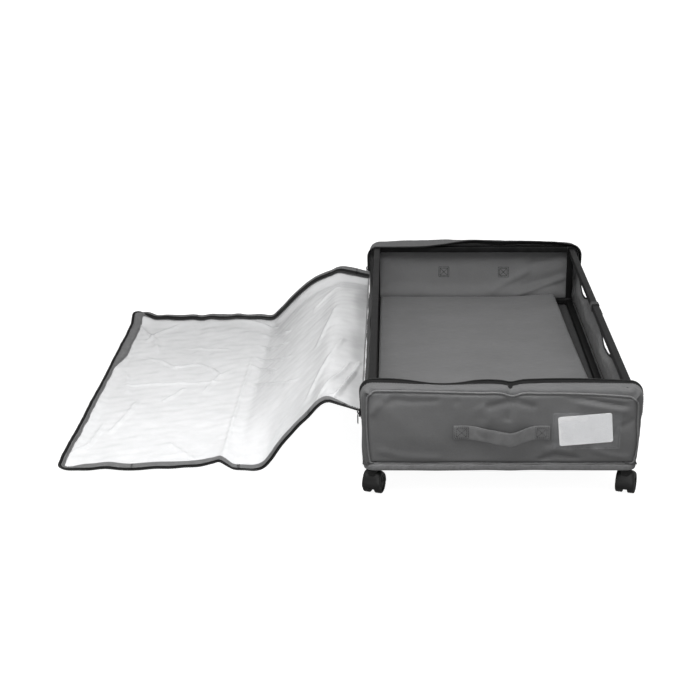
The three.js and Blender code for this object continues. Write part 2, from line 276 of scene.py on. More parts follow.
    def stitches(self, points, normals, pitch=4.4, length=3.0, width=0.8, height=0.5, mat=0):
        """Thread stitches, small lozenges spaced along a path on a surface."""
        p = np.asarray(points, float)
        n = np.broadcast_to(np.asarray(normals, float), p.shape)
        d = np.concatenate([[0], np.cumsum(np.linalg.norm(np.diff(p, axis=0), axis=1))])
        for s in np.arange(pitch * 0.5, d[-1], pitch):
            at, up = point_at(s, d, p), unit(point_at(s, d, n))
            along = unit(point_at(s + 0.5, d, p) - point_at(s - 0.5, d, p))
            side = np.cross(up, along)
            v = [at - along * length / 2, at + along * length / 2, at - side * width / 2,
                 at + side * width / 2, at + up * height, at - up * height * 0.6]
            f = [(0, 2, 4), (2, 1, 4), (1, 3, 4), (3, 0, 4), (2, 0, 5), (1, 2, 5), (3, 1, 5), (0, 3, 5)]
            self.put(v, f, None, mat)
        return self

    def coil(self, points, times, radius, ripple):
        """Zipper coil: a thin pipe whose radius goes up and down from tooth to tooth."""
        line = refined(points, times)
        return self.pipe(line, radius + ripple * np.where(np.arange(len(line)) % 2 == 0, 1, -1), 7, mat=1)

    def make(self, name, materials, body=None, slot=None, replaces=(), sharp=40):
        mesh = bpy.data.meshes.new(name)
        mesh.from_pydata(row(np.concatenate(self.verts)).tolist(), [], self.faces)
        uv = np.concatenate(self.uvs)
        layer = mesh.uv_layers.new(name="UVMap")
        loops = np.empty(len(mesh.loops), np.int32)
        mesh.loops.foreach_get("vertex_index", loops)
        layer.data.foreach_set("uv", uv[loops].astype(np.float32).ravel())
        for m in materials if isinstance(materials, (list, tuple)) else [materials]:
            mesh.materials.append(m)
        mesh.polygons.foreach_set("material_index", np.array(self.mats, np.int32))
        mesh.polygons.foreach_set("use_smooth", np.ones(len(mesh.polygons), bool))
        mesh.set_sharp_from_angle(angle=math.radians(sharp))
        mesh.update()
        piece = bpy.data.objects.new(name, mesh)
        scene.collection.objects.link(piece)
        if body:
            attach(piece, body)
        if replaces:
            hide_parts(*replaces)
        return piece


# ---- materials ------------------------------------------------------------
class Look:
    """A node material under construction."""

    def __init__(self, name):
        self.material = bpy.data.materials.new(name)
        self.material.use_nodes = True
        self.tree = self.material.node_tree
        self.tree.nodes.clear()
        self.out = self.tree.nodes.new("ShaderNodeOutputMaterial")
        self.coords = self.tree.nodes.new("ShaderNodeTexCoord")

    def node(self, kind, settings=(), **inputs):
        n = self.tree.nodes.new("ShaderNode" + kind)
        for key, value in dict(settings).items():
            setattr(n, key, value)
        for key, value in inputs.items():
            self.feed(n, key.replace("_", " "), value)
        return n

    def plug(self, socket, value):
        """Link another node's output to a socket, or set the socket's own value."""
        if isinstance(value, bpy.types.NodeSocket):
            self.tree.links.new(value, socket)
        else:
            socket.default_value = value

    def feed(self, node, key, value):
        self.plug(next(s for s in node.inputs if s.name.lower() == key.lower() and s.enabled), value)

    def math(self, op, a, b=0.0):
        n = self.tree.nodes.new("ShaderNodeMath")
        n.operation = op
        self.plug(n.inputs[0], a)
        self.plug(n.inputs[1], b)
        return n.outputs[0]

    def scaled(self, scale, uv=True):
        n = self.node("Mapping", vector=self.coords.outputs["UV" if uv else "Object"])
        n.inputs["Scale"].default_value = scale if isinstance(scale, tuple) else (scale,) * 3
        return n.outputs[0]

    def noise(self, scale, detail=3.0, rough=0.55, uv=True, distortion=0.0):
        n = self.node("TexNoise", vector=self.scaled(scale, uv), scale=1.0, detail=detail,
                      roughness=rough, distortion=distortion)
        return n.outputs[0]

    def ramp(self, value, low, high, out_low=0.0, out_high=1.0):
        n = self.node("MapRange", value=value, from_min=low, from_max=high, to_min=out_low, to_max=out_high)
        return n.outputs[0]

    def mix(self, factor, a, b):
        n = self.tree.nodes.new("ShaderNodeMix")
        n.data_type = "RGBA"
        for socket, value in ((n.inputs[0], factor), (n.inputs[6], a), (n.inputs[7], b)):
            self.plug(socket, (*value, 1.0) if isinstance(value, tuple) else value)
        return n.outputs[2]

    def weave(self, pitch):
        """Plain weave height, -1 to 1, threads one pitch apart along both UV directions."""
        split = self.node("SeparateXYZ", vector=self.coords.outputs["UV"])
        k = math.pi / (pitch * 0.001)
        a = self.math("SINE", self.math("MULTIPLY", split.outputs[0], k))
        b = self.math("SINE", self.math("MULTIPLY", split.outputs[1], k))
        return self.math("MULTIPLY", a, b)

    def bump(self, height, strength, distance, under=None):
        n = self.node("Bump", strength=strength, distance=distance * 0.001, height=height)
        if under is not None:
            self.tree.links.new(under, n.inputs["Normal"])
        return n.outputs[0]

    def surface(self, color, roughness, normal=None, **more):
        n = self.node("BsdfPrincipled", base_color=color, roughness=roughness, **more)
        if normal is not None:
            self.tree.links.new(normal, n.inputs["Normal"])
        return n.outputs[0]

    def done(self, shader):
        self.tree.links.new(shader, self.out.inputs["Surface"])
        return self.material


def grey(v):
    return (v, v * 1.004, v * 1.012)


def cloth_look(name, shade, pitch=0.9, contrast=0.16, rumple=0.5, rough=0.82):
    """Woven polyester: fine weave, heathered threads, slow fading and scuffs."""
    k = Look(name)
    weave = k.weave(pitch)
    heather = k.noise((260, 420, 1), detail=4, rough=0.7)
    fade = k.noise(9.0, detail=3)
    scuff = k.noise(38.0, detail=5, rough=0.65)
    level = k.math("ADD", k.ramp(heather, 0.25, 0.75, -0.5, 0.5), k.math("MULTIPLY", weave, 0.3))
    level = k.math("ADD", level, k.ramp(fade, 0.3, 0.7, -0.45, 0.45))
    level = k.math("ADD", level, k.ramp(scuff, 0.55, 0.85, 0.0, 0.5))
    factor = k.ramp(level, -1.4, 1.4)
    color = k.mix(factor, grey(shade * (1 - contrast)), grey(shade * (1 + contrast)))
    fine = k.bump(weave, 0.35, 0.12)
    folds = k.bump(k.noise(55.0, detail=4, rough=0.6), rumple, 0.9, fine)
    soft = k.bump(k.noise(14.0, detail=2), rumple, 2.2, folds)
    roughness = k.ramp(scuff, 0.3, 0.8, rough, rough - 0.12)
    return k.done(k.surface(color, roughness, soft, sheen_weight=0.08, sheen_roughness=0.5,
                            specular_ior_level=0.25))


def board_look():
    """Brushed non-woven cover: short uneven streaks across the board."""
    k = Look("board_cover")
    streak = k.noise((48, 430, 1), detail=5, rough=0.7)
    speck = k.noise((420, 900, 1), detail=3, rough=0.6)
    broad = k.noise((7, 16, 1), detail=3)
    level = k.math("ADD", k.ramp(streak, 0.32, 0.68, -0.6, 0.6), k.ramp(speck, 0.3, 0.7, -0.35, 0.35))
    level = k.math("ADD", level, k.ramp(broad, 0.3, 0.7, -0.3, 0.3))
    color = k.mix(k.ramp(level, -1.2, 1.2), grey(0.10), grey(0.17))
    fine = k.bump(streak, 0.4, 0.25)
    fibres = k.bump(speck, 0.35, 0.15, fine)
    return k.done(k.surface(color, 0.93, fibres, sheen_weight=0.12, specular_ior_level=0.2))


def webbing_look():
    """Ribbed polypropylene strap, ribs across, a tighter edge cord."""
    k = Look("strap_webbing")
    split = k.node("SeparateXYZ", vector=k.coords.outputs["UV"])
    ribs = k.math("SINE", k.math("MULTIPLY", split.outputs[1], 2 * math.pi / 0.0016))
    warp = k.math("SINE", k.math("MULTIPLY", split.outputs[0], 2 * math.pi / 0.0022))
    both = k.math("MULTIPLY", ribs, k.ramp(warp, -1.0, 1.0, 0.45, 1.0))
    wear = k.noise(60.0, detail=4)
    level = k.math("ADD", k.math("MULTIPLY", both, 0.4), k.ramp(wear, 0.3, 0.7, -0.6, 0.6))
    color = k.mix(k.ramp(level, -1.0, 1.0), grey(0.135), grey(0.21))
    return k.done(k.surface(color, 0.6, k.bump(both, 0.5, 0.3), sheen_weight=0.1))


def binding_look(name, shade, sheen=0.1):
    """Narrow bias tape: fine diagonal twill and puckers along the seam."""
    k = Look(name)
    split = k.node("SeparateXYZ", vector=k.coords.outputs["UV"])
    diagonal = k.math("ADD", split.outputs[0], split.outputs[1])
    twill = k.math("SINE", k.math("MULTIPLY", diagonal, 2 * math.pi / 0.0013))
    pucker = k.noise((60, 140, 1), detail=3)
    level = k.math("ADD", k.math("MULTIPLY", twill, 0.35), k.ramp(pucker, 0.3, 0.7, -0.6, 0.6))
    color = k.mix(k.ramp(level, -1.0, 1.0), grey(shade * 0.8), grey(shade * 1.2))
    normal = k.bump(pucker, 0.6, 0.8, k.bump(twill, 0.4, 0.12))
    return k.done(k.surface(color, 0.78, normal, sheen_weight=sheen, specular_ior_level=0.25))


def powder_look():
    """Black powder coat: orange peel, faint dust, rubbed glints."""
    k = Look("powder_coat")
    peel = k.noise(900.0, detail=2, uv=False)
    dust = k.noise(26.0, detail=6, rough=0.7, uv=False)
    color = k.mix(k.ramp(dust, 0.45, 0.8), grey(0.006), grey(0.014))
    return k.done(k.surface(color, k.ramp(dust, 0.3, 0.8, 0.42, 0.6), k.bump(peel, 0.22, 0.1),
                            metallic=0.0, specular_ior_level=0.12))


def plastic_look(name, shade, rough):
    """Moulded plastic: fine grain, handling marks."""
    k = Look(name)
    grain = k.noise(1400.0, detail=2, uv=False)
    marks = k.noise((60, 60, 240), detail=5, rough=0.65, uv=False)
    color = k.mix(k.ramp(marks, 0.4, 0.8), grey(shade), grey(shade * 2.0 + 0.002))
    return k.done(k.surface(color, k.ramp(marks, 0.3, 0.75, rough, rough + 0.16), k.bump(grain, 0.25, 0.08),
                            specular_ior_level=0.35))


def tyre_look():
    """Hard rubber tread, dusty where it rolls."""
    k = Look("tread_rubber")
    grit = k.noise(700.0, detail=4, uv=False)
    dust = k.noise(90.0, detail=5, rough=0.7, uv=False)
    color = k.mix(k.ramp(dust, 0.45, 0.75), grey(0.007), grey(0.026))
    return k.done(k.surface(color, 0.62, k.bump(grit, 0.3, 0.12)))


def metal_look(name, shade, rough):
    k = Look(name)
    brush = k.noise((900, 900, 60), detail=4, uv=False)
    color = k.mix(k.ramp(brush, 0.3, 0.7), grey(shade * 0.8), grey(min(shade * 1.2, 0.95)))
    return k.done(k.surface(color, k.ramp(brush, 0.3, 0.7, rough - 0.08, rough + 0.1),
                            k.bump(brush, 0.15, 0.05), metallic=0.9))


def film_look(name, clear, tint, rough, wrinkle, painted_shade_strength=0.0):
    """Soft clear vinyl: part see-through, part milky, with a wet gloss and fine creases. Its last argument
    sets painted shade: darker, less clear vinyl near the hinge and towards the back, in patches.
    """
    k = Look(name)
    fine = k.noise((26, 60, 1), detail=5, rough=0.6, distortion=0.6)
    broad = k.noise((6, 9, 1), detail=3)
    haze = k.noise(18.0, detail=4)
    normal = k.bump(fine, wrinkle, 1.2, k.bump(broad, wrinkle, 4.0))
    split = k.node("SeparateXYZ", vector=k.coords.outputs["UV"])
    # painted shade: darker and less clear near the hinge and towards the back, broken into patches, as strong
    # as the last argument
    near_hinge = k.ramp(split.outputs[0], 0.0, 0.17, 1.0, 0.0)
    at_back = k.ramp(split.outputs[1], -0.22, 0.44, 0.0, 0.9)
    patchy = k.ramp(k.noise((5, 7, 1), detail=3), 0.3, 0.7, 0.55, 1.0)
    where = k.math("MAXIMUM", near_hinge, k.math("MULTIPLY", at_back, 0.62))
    painted_shade = k.math("MULTIPLY", k.math("MULTIPLY", where, patchy), painted_shade_strength)
    milk = k.mix(k.ramp(haze, 0.3, 0.7), grey(tint * 0.94), grey(tint))
    body = k.surface(k.mix(painted_shade, milk, grey(tint * 0.42)), rough, normal,
                     specular_ior_level=0.5, ior=1.45, coat_weight=0.3, coat_roughness=0.12)
    through = k.node("BsdfTransparent", color=(0.985, 0.987, 0.99, 1.0)).outputs[0]
    cover = k.ramp(haze, 0.3, 0.7, 1 - clear - 0.05, 1 - clear + 0.05)
    mixed = k.node("MixShader", fac=k.math("ADD", cover, k.math("MULTIPLY", painted_shade, 0.3)))
    k.tree.links.new(through, mixed.inputs[1])
    k.tree.links.new(body, mixed.inputs[2])
    return k.done(mixed.outputs[0])


def card_look():
    k = Look("card_paper")
    fibre = k.noise((300, 300, 1), detail=5, rough=0.7)
    tone = k.noise((24, 20, 1), detail=2)
    color = k.mix(k.ramp(tone, 0.3, 0.7), (0.90, 0.90, 0.905), (0.93, 0.93, 0.935))
    return k.done(k.surface(color, 0.55, k.bump(fibre, 0.2, 0.06)))


FABRIC = cloth_look("bag_cloth", 0.135)
# floor cloth darker than the bag cloth: partly its own dark grey, partly painted shade for the narrow gap
# beside the board
SHADED_LINING = cloth_look("bag_lining_shaded", 0.05, pitch=1.1, contrast=0.12)
STRIP = cloth_look("gusset_cloth", 0.112, rumple=1.3)
WALL = cloth_look("wall_cloth", 0.105, rumple=0.8)
BOARD = board_look()
WEBBING = webbing_look()
BINDING = binding_look("seam_binding", 0.165)
LID_TAPE = binding_look("lid_binding", 0.14)
THREAD = binding_look("thread", 0.035, 0.0)
THREAD_LIGHT = binding_look("thread_grey", 0.2, 0.0)
ZIP_TAPE = binding_look("zip_tape", 0.006, 0.0)
ZIP_COIL = plastic_look("zip_coil", 0.005, 0.4)
STEEL = powder_look()
PLASTIC = plastic_look("moulded_black", 0.006, 0.36)
TYRE = tyre_look()
ZINC = metal_look("zinc_plate", 0.55, 0.34)
PULL = metal_look("painted_zinc", 0.05, 0.4)
# the last number sets the shade painted near the hinge and towards the back
CLEAR = film_look("clear_vinyl", 0.38, 0.9, 0.26, 0.22, 0.85)
POCKET = film_look("pocket_vinyl", 0.95, 0.92, 0.14, 0.06)
CARD = card_look()

# ---- steel frame ----------------------------------------------------------
TUBE, CX, CY = 13.0, 218.5, 453.5
Z_LOW, Z_HIGH = 68.5, 191.5


def square_ring(radius=1.9, steps=4):
    h = TUBE / 2
    pts = []
    for k, (sx, sy) in enumerate(((1, 1), (-1, 1), (-1, -1), (1, -1))):
        for t in np.linspace(0, math.pi / 2, steps + 1):
            a = t + k * math.pi / 2
            pts.append((sx * (h - radius) + radius * math.cos(a), sy * (h - radius) + radius * math.sin(a)))
    return np.array(pts)


def rail(name, start, end):
    """Square tube with rolled corners, open ends closed by the connectors."""
    start, end = np.array(start, float), np.array(end, float)
    axis = unit(end - start)
    u = np.array([0, 0, 1.0]) if abs(axis[2]) < 0.5 else np.array([1.0, 0, 0])
    v = np.cross(axis, u)
    ring = square_ring()
    stations = np.linspace(0, 1, 12)
    rings = [start + (end - start) * t + ring[:, :1] * v + ring[:, 1:] * u for t in stations]
    Shape().loft(np.array(rings)[:, ::-1]).make(name + "_tube", STEEL, "bag", "black_steel", [name])


reach_y, reach_x = CY - TUBE / 2 - 0.3, CX - TUBE / 2 - 0.3
for level, z in (("bottom", Z_LOW), ("top", Z_HIGH)):
    for side, s in (("left", -1), ("right", 1)):
        rail(f"{level}_rail_{side}", (s * CX, -reach_y, z), (s * CX, reach_y, z))
    for side, s in (("front", -1), ("back", 1)):
        rail(f"{level}_rail_{side}", (-reach_x, s * CY, z), (reach_x, s * CY, z))
CORNERS = [("fl", -1, -1), ("fr", 1, -1), ("bl", -1, 1), ("br", 1, 1)]
for tag, sx, sy in CORNERS:
    rail(f"corner_post_{tag}", (sx * CX, sy * CY, Z_LOW + 6.8), (sx * CX, sy * CY, Z_HIGH - 6.8))
    for level, z in (("bottom", Z_LOW), ("top", Z_HIGH)):
        c = Shape()
        h, lip = TUBE / 2, TUBE / 2 + 0.9
        x, y = sx * CX, sy * CY
        c.rounded_box((x - h, y - h, z - h), (x + h, y + h, z + h), 2.0)
        for axis, way in ((0, -sx), (1, -sy), (2, -1 if level == "top" else 1)):
            lo, hi = np.full(3, -lip), np.full(3, lip)
            lo[axis], hi[axis] = sorted((way * (h - 3.0), way * (h + 2.2)))
            at = np.array([x, y, z])
            c.rounded_box(at + lo, at + hi, 1.0, 2)
        c.make(f"{level}_corner_{tag}", PLASTIC, "bag", "black_plastic", [f"{level}_connector_{tag}"])

# ---- castors --------------------------------------------------------------
WHEEL_R, WHEEL_W, WHEEL_X0, TRAIL = 17.0, 12.0, 4.5, 9.5
HOOD_W = WHEEL_X0 + WHEEL_W
turn = math.radians(-18)


def placed(P, tag_x, tag_y):
    P = np.asarray(P, float)
    c, s = math.cos(turn), math.sin(turn)
    out = P.copy()
    out[..., 0] = P[..., 0] * c - P[..., 1] * s + tag_x
    out[..., 1] = P[..., 0] * s + P[..., 1] * c + tag_y
    return out


def moved(shape, x, y):
    shape.verts = [placed(v, x, y) for v in shape.verts]
    return shape


def hood_shape():
    """Twin-wheel castor hood: fender with rounded shoulders, domed crown, middle web, neck."""
    phi = np.radians(np.linspace(-6, 186, 49))
    b = np.sin(np.linspace(-math.pi / 2, math.pi / 2, 25))
    F, B = np.meshgrid(phi, b, indexing="ij")
    crown = 6.2 * np.exp(-((np.degrees(F) - 106) / 34) ** 2)
    shoulder = (1 - np.abs(B) ** 3.4) ** (1 / 2.6)
    r = 17.9 + (2.6 + crown) * shoulder
    half = HOOD_W * (1 - 0.03 * (1 - shoulder))
    P = np.stack([B * half, TRAIL + r * np.cos(F), WHEEL_R + r * np.sin(F)], 2)
    r_in = np.minimum(r - 1.3, 17.75)       # clear of the wheels
    inner = np.stack([B * (half - 0.6), TRAIL + r_in * np.cos(F), WHEEL_R + r_in * np.sin(F)], 2)
    s = Shape().slab(P, inner)
    web_half = WHEEL_X0 - 0.7
    web = []
    for radius, first, last, count in ((18.4, -4, 184, 24), (12.5, 200, 340, 12)):
        for t in np.linspace(math.radians(first), math.radians(last), count):
            web.append((-web_half, TRAIL + radius * math.cos(t), WHEEL_R + radius * math.sin(t)))
    s.prism(web, (2 * web_half, 0, 0))
    neck = [(3.9, 38), (8.6, 38), (8.6, 43), (10.2, 44.5), (10.2, 46.5), (8.2, 47.5), (8.0, 55.2), (7.3, 56),
            (3.9, 56)]
    s.lathe(neck, (0, 0, 0), (0, 0, 1), (1, 0, 0), 32, closed_profile=True)
    axle = [(0.01, -15.6), (2.5, -15.6), (2.5, 15.6), (0.01, 15.6)]
    s.lathe(axle, (0, TRAIL, WHEEL_R), (1, 0, 0), (0, 1, 0), 20)
    return s


def wheel_shape(side):
    """Wheel with crowned grooved tread, recessed hub face with five ribs."""
    s = Shape()
    tread = [(2.8, 0), (15.8, 0), (16.7, 0.5), (17.0, 1.6), (17.0, 3.6), (16.6, 4.0), (16.6, 4.5),
             (17.0, 4.9), (17.0, 7.4), (16.6, 7.8), (16.6, 8.3), (17.0, 8.7), (16.9, 10.2), (16.2, 11.4),
             (15.0, 12.0), (13.2, 12.0), (12.6, 11.4), (12.4, 9.4), (6.2, 9.0), (5.4, 10.6), (4.6, 11.0),
             (2.8, 11.0)]
    prof = [(r, WHEEL_X0 + h) for r, h in tread]
    axis = (1, 0, 0) if side > 0 else (-1, 0, 0)
    s.lathe(prof, (0, TRAIL, WHEEL_R), axis, (0, 1, 0), 48, closed_profile=True)
    for k in range(5):
        a = 2 * math.pi * k / 5
        c, d = math.cos(a), math.sin(a)
        x0 = side * (WHEEL_X0 + 8.6)
        mid = [(x0, TRAIL + c * r - d * w, WHEEL_R + d * r + c * w)
               for r, w in ((5.2, -1.1), (12.6, -0.8), (12.6, 0.8), (5.2, 1.1))]
        s.prism(mid if side > 0 else mid[::-1], (side * 1.7, 0, 0), mat=1)
    return s


STEM = [(0.01, 39.5), (2.6, 39.5), (3.5, 41), (3.5, 79), (3.0, 80), (3.0, 81.5), (3.5, 82.5), (3.5, 86),
        (2.4, 88), (0.01, 88)]
for tag, sx, sy in CORNERS:
    x, y, castor = sx * CX, sy * CY, f"castor_{tag}"
    moved(hood_shape(), x, y).make(f"{castor}_cover", PLASTIC, castor, "black_plastic", [f"{castor}_hood"])
    stem = Shape().lathe(STEM, (x, y, 0), (0, 0, 1), (1, 0, 0), 24)
    stem.make(f"{castor}_pin", ZINC, castor, "zinc_steel", [f"{castor}_stem"])
    for letter, side in (("l", -1), ("r", 1)):
        wheel = moved(wheel_shape(side), x, y)
        wheel.make(f"{castor}_roller_{letter}", [TYRE, PLASTIC], f"wheel_{tag}_{letter}", "castor_tyre",
                   [f"{castor}_wheel_{letter}"])

# ---- end panels and their gusset strips -----------------------------------
SEAM_Z, SEAM_DEPTH, NOMINAL_W, NOMINAL_H = 61.0, 464.0, 229.0, 135.0
HEM_STITCH = (4.6, 3.1, 0.7, 0.45)      # pitch, length, width and height of a stitch

FRONT = {
    "way": -1, "seed": 11, "name": "front",
    "seam_left": [(40, -221), (61, -222), (87, -225), (142, -227.5), (180, -227), (205, -226)],
    "seam_right": [(40, 226), (61, 229), (87, 233.5), (142, 231.5), (180, 230), (205, 229)],
    "seam_top": [(-229, 197.2), (-170, 197.0), (-104, 195.6), (-37, 194.2), (0, 193.4), (16, 188.5),
                 (32, 193.4), (64, 194.0), (131, 193.6), (180, 191.8), (200, 190.4), (229, 188.4)],
    "seam_depth": [(-229, 473), (-100, 475), (0, 476.5), (130, 478), (200, 480), (229, 480)],
    "outer_left": [(40, -229), (68, -231.5), (100, -234.5), (142, -236.3), (185, -236.8), (205, -236)],
    "outer_right": [(40, 232), (68, 235), (100, 237.3), (142, 238.5), (170, 239.6), (205, 239.6)],
    "outer_top": [(-238, 200.6), (-170, 201.2), (-104, 200.4), (-35, 200.5), (4, 200.5), (16, 197.2),
                  (30, 200.7), (64, 201.1), (131, 201.2), (200, 201.0), (240, 200.6)],
    "zip_left": [(40, -232), (68, -235.7), (130, -236.2), (150, -237), (180, -238.6), (210, -238)],
    "zip_right": [(40, 233), (61, 236), (120, 237), (150, 243), (180, 242.5), (210, 240)],
    "zip_top": [(-240, 202.0), (-196, 202.6), (-165, 201.6), (-130, 199.6), (-100, 198.6), (-70, 199.0),
                (-40, 200.4), (0, 199.4), (16, 196.8), (32, 200.0), (60, 201.4), (168, 202.0),
                (215, 201.2), (242, 200.4)],
    "zip_depth": [(-240, 446), (0, 446.2), (240, 446)],
    "tilt": [(-240, 20), (-200, 36), (-160, 26), (-125, 2), (-95, -4), (-66, 6), (-40, 28), (16, 34),
             (60, 40), (160, 30), (215, 16), (242, 10)],
    "creases": [([(96, 192), (150, 182), (221, 170)], 4.5, -2.8),
                ([(120, 180), (170, 170), (224, 160)], 9, 1.6),
                ([(58, 66), (76, 72), (92, 78.5), (112, 76), (140, 71)], 4.5, -2.6),
                ([(70, 84), (95, 92), (130, 84)], 9, 1.8), ([(17, 186), (4, 176), (-30, 168)], 6, -1.8),
                ([(17, 186), (34, 176), (62, 168)], 6, -1.6), ([(17, 184), (16, 165), (9, 140)], 7, -1.4),
                ([(-196, 183), (-150, 178), (-96, 181)], 5, -1.2),
                ([(-220, 90), (-170, 76), (-90, 70)], 8, 1.2),
                ([(-224, 150), (-205, 176), (-190, 190)], 7, 1.6),
                ([(150, 92), (190, 78), (226, 72)], 6, 1.3),
                ([(196, 130), (214, 138), (229, 150)], 6, -1.3),
                ([(-40, 176), (-20, 150), (-34, 118)], 12, 1.3)],
    "dents": [(-203, 180, 8, -2.4), (-186, 176, 6, -1.6), (-75, 179, 7, -1.3), (16, 181, 9, -3.6),
              (-150, 110, 46, 1.8), (120, 66, 40, 1.4), (208, 108, 22, 1.6), (40, 92, 40, 1.4)],
    "low_pull": 0.0, "handle_up": 0.0,
}
BACK = {
    "way": 1, "seed": 23, "name": "back",
    "seam_left": [(40, -223), (61, -224), (100, -227), (150, -227.5), (205, -226)],
    "seam_right": [(40, 224), (61, 226), (100, 229), (150, 229.5), (205, 228)],
    "seam_top": [(-229, 196), (-120, 197.5), (-50, 196.5), (30, 195.2), (120, 195.0), (190, 194),
                 (229, 191.5)],
    "seam_depth": [(-229, 474), (-60, 479), (60, 478), (229, 473)],
    "outer_left": [(40, -230), (68, -232.5), (140, -236), (185, -236.5), (205, -235)],
    "outer_right": [(40, 231), (68, 234), (140, 237), (185, 237.5), (205, 236)],
    "outer_top": [(-237, 202.6), (-212, 205.6), (-167, 207.8), (-100, 209.0), (-53, 209.3), (0, 208.8),
                  (61, 207.6), (152, 206.2), (200, 204.2), (238, 201.6)],
    "zip_left": [(40, -232), (68, -235.7), (130, -236.4), (160, -239), (185, -239), (210, -237)],
    "zip_right": [(40, 233), (68, 235.7), (130, 236.8), (160, 240), (185, 240.5), (210, 239)],
    "zip_top": [(-240, 199.0), (-212, 199.2), (-167, 199.6), (-99, 201.2), (-54, 204.2), (-20, 206.6),
                (6, 206.2), (30, 203.0), (58, 200.6), (82, 202.4), (103, 203.6), (150, 203.0),
                (194, 202.0), (216, 200.6), (242, 199)],
    "zip_depth": [(-240, 446), (-99, 446.5), (-54, 449), (-20, 452), (13, 456), (58, 462), (103, 458),
                  (150, 457), (194, 455), (216, 450), (242, 446)],
    "tilt": [(-240, 10), (-100, 12), (-54, 30), (0, 52), (58, 62), (103, 50), (194, 44), (242, 20)],
    "creases": [([(84, 78), (154, 101), (222, 125)], 6, -4.0),
                ([(100, 92), (160, 112), (224, 134)], 11, 2.2),
                ([(28, 84), (62, 102), (92, 116), (135, 140)], 8, -2.4),
                ([(-205, 92), (-206, 130), (-200, 170)], 8, -2.0),
                ([(-190, 180), (-60, 172), (60, 178)], 9, -1.4),
                ([(-120, 100), (-40, 92), (30, 96)], 12, 1.6),
                ([(120, 150), (170, 160), (215, 178)], 9, 1.8)],
    "dents": [(-120, 130, 50, 2.4), (150, 165, 34, 2.0), (60, 120, 30, -1.6), (-212, 110, 14, -2.6)],
    "low_pull": 9.0, "handle_up": 9.5,
}


def table_at(end, key, x):
    return spline(x, end[key])


def seam_limits(end, x, z):
    return (table_at(end, "seam_left", z), table_at(end, "seam_right", z), table_at(end, "seam_top", x))


def panel_depth(end, x, z):
    """Distance of an end panel's outer face from the bag's centre, at a point of its face."""
    x, z = np.broadcast_arrays(np.asarray(x, float), np.asarray(z, float))
    left, right, top = seam_limits(end, x, z)
    b = np.clip((z - SEAM_Z) / (top - SEAM_Z), 0, 1)
    depth = SEAM_DEPTH + (table_at(end, "seam_depth", x) - SEAM_DEPTH) * b
    edge = np.minimum(np.minimum(x - left, right - x), np.minimum(top - z, z - SEAM_Z))
    depth = depth - 4.4 * (1 - ease(edge, 1.0, 6.5)) + 2.8 * ease(edge, 0, 60)
    inside = ease(edge, 0, 12)
    depth = depth + (waves(x, z, end["seed"], 130) * 1.1 + waves(x, z, end["seed"] + 1, 46) * 0.35) * inside
    for line, width, height in end["creases"]:
        depth = depth + 1.5 * height * crease(x, z, line, width) * (0.35 + 0.65 * inside)
    for cx, cz, width, height in end["dents"]:
        depth = depth + height * np.exp(-((x - cx) ** 2 + (z - cz) ** 2) / width**2)
    return depth - end["low_pull"] * hill(z, 84, 16)


def on_panel(end, x, z, lift=0.0):
    x, z = np.broadcast_arrays(np.asarray(x, float), np.asarray(z, float))
    return np.stack([x, end["way"] * (panel_depth(end, x, z) + lift), z], -1)


def mapped(end, which, a, b, low):
    """Point of the seam, outer or zipper outline for nominal a (-1..1) and b (0..1)."""
    side = 229.0 * a
    top = table_at(end, which + "_top", side)
    z = low + (top - low) * b
    left, right = table_at(end, which + "_left", z), table_at(end, which + "_right", z)
    return left + (right - left) * (a + 1) / 2, z


def rounded_outline(corner_top, corner_low, from_floor):
    """Nominal outline of an end, left side upwards, over the top and down the right side."""
    w, h = NOMINAL_W, NOMINAL_H
    pts = []
    if from_floor:
        pts += [(-w + corner_low * (1 - math.cos(t)), corner_low * (1 - math.sin(t)))
                for t in np.linspace(math.pi / 2, 0, 8)]
        pts += [(-w, z) for z in np.linspace(corner_low, h - corner_top, 30)[1:-1]]
    else:
        pts += [(-w, z) for z in np.linspace(0, h - corner_top, 34)[:-1]]
    pts += [(-w + corner_top * (1 - math.cos(t)), h - corner_top * (1 - math.sin(t)))
            for t in np.linspace(0, math.pi / 2, 13)]
    pts += [(x, h) for x in np.linspace(-w + corner_top, w - corner_top, 152)[1:-1]]
    right = [(-x, z) for x, z in pts[::-1] if abs(x + w) < w * 0.5 and x < -w + corner_top + 1e-6]
    pts += right
    p = np.array(pts)
    return p[:, 0] / w, p[:, 1] / h


def seam_points(end, a, b, low=SEAM_Z):
    x, z = mapped(end, "seam", a, b, low)
    return np.stack([x, end["way"] * panel_depth(end, x, np.clip(z, SEAM_Z, 999)), z], -1)


STRIP_WIDTH = 34
FRONT_WRINKLES = [(1.6, [(-226, 4), (-205, 16), (-196, 30)], 4), (2.2, [(60, 30), (130, 12), (205, 22)], 5),
                  (2.0, [(-150, 28), (-90, 14), (-30, 20)], 5)]


def fold_front_strip(P, w, on_top):
    """The front strip's pinch at its middle, tuck at its right end and three long wrinkles, in place."""
    on_top = on_top[:, None]
    x = P[..., 0]
    pinch = (1.5 * hill(x, 8, 3.2) + 1.8 * hill(x, 21, 3.4) - 1.3 * hill(x, 14.5, 3.0)
             + 0.9 * hill(x, 1, 4) + 1.0 * hill(x, 32, 5))
    P[..., 2] += pinch * on_top * np.sin(np.pi * w) ** 0.7
    tuck = hill(x, 214, 5) - 0.8 * hill(x, 223, 4) + 0.6 * hill(x, 203, 5)
    P[..., 2] -= 2.6 * tuck * on_top * hill(w, 0.4, 0.3)
    wrinkles = 0
    for height, line, width in FRONT_WRINKLES:
        wrinkles = wrinkles + height * crease(x, w[None] * STRIP_WIDTH, line, width)
    P[..., 2] += wrinkles * on_top


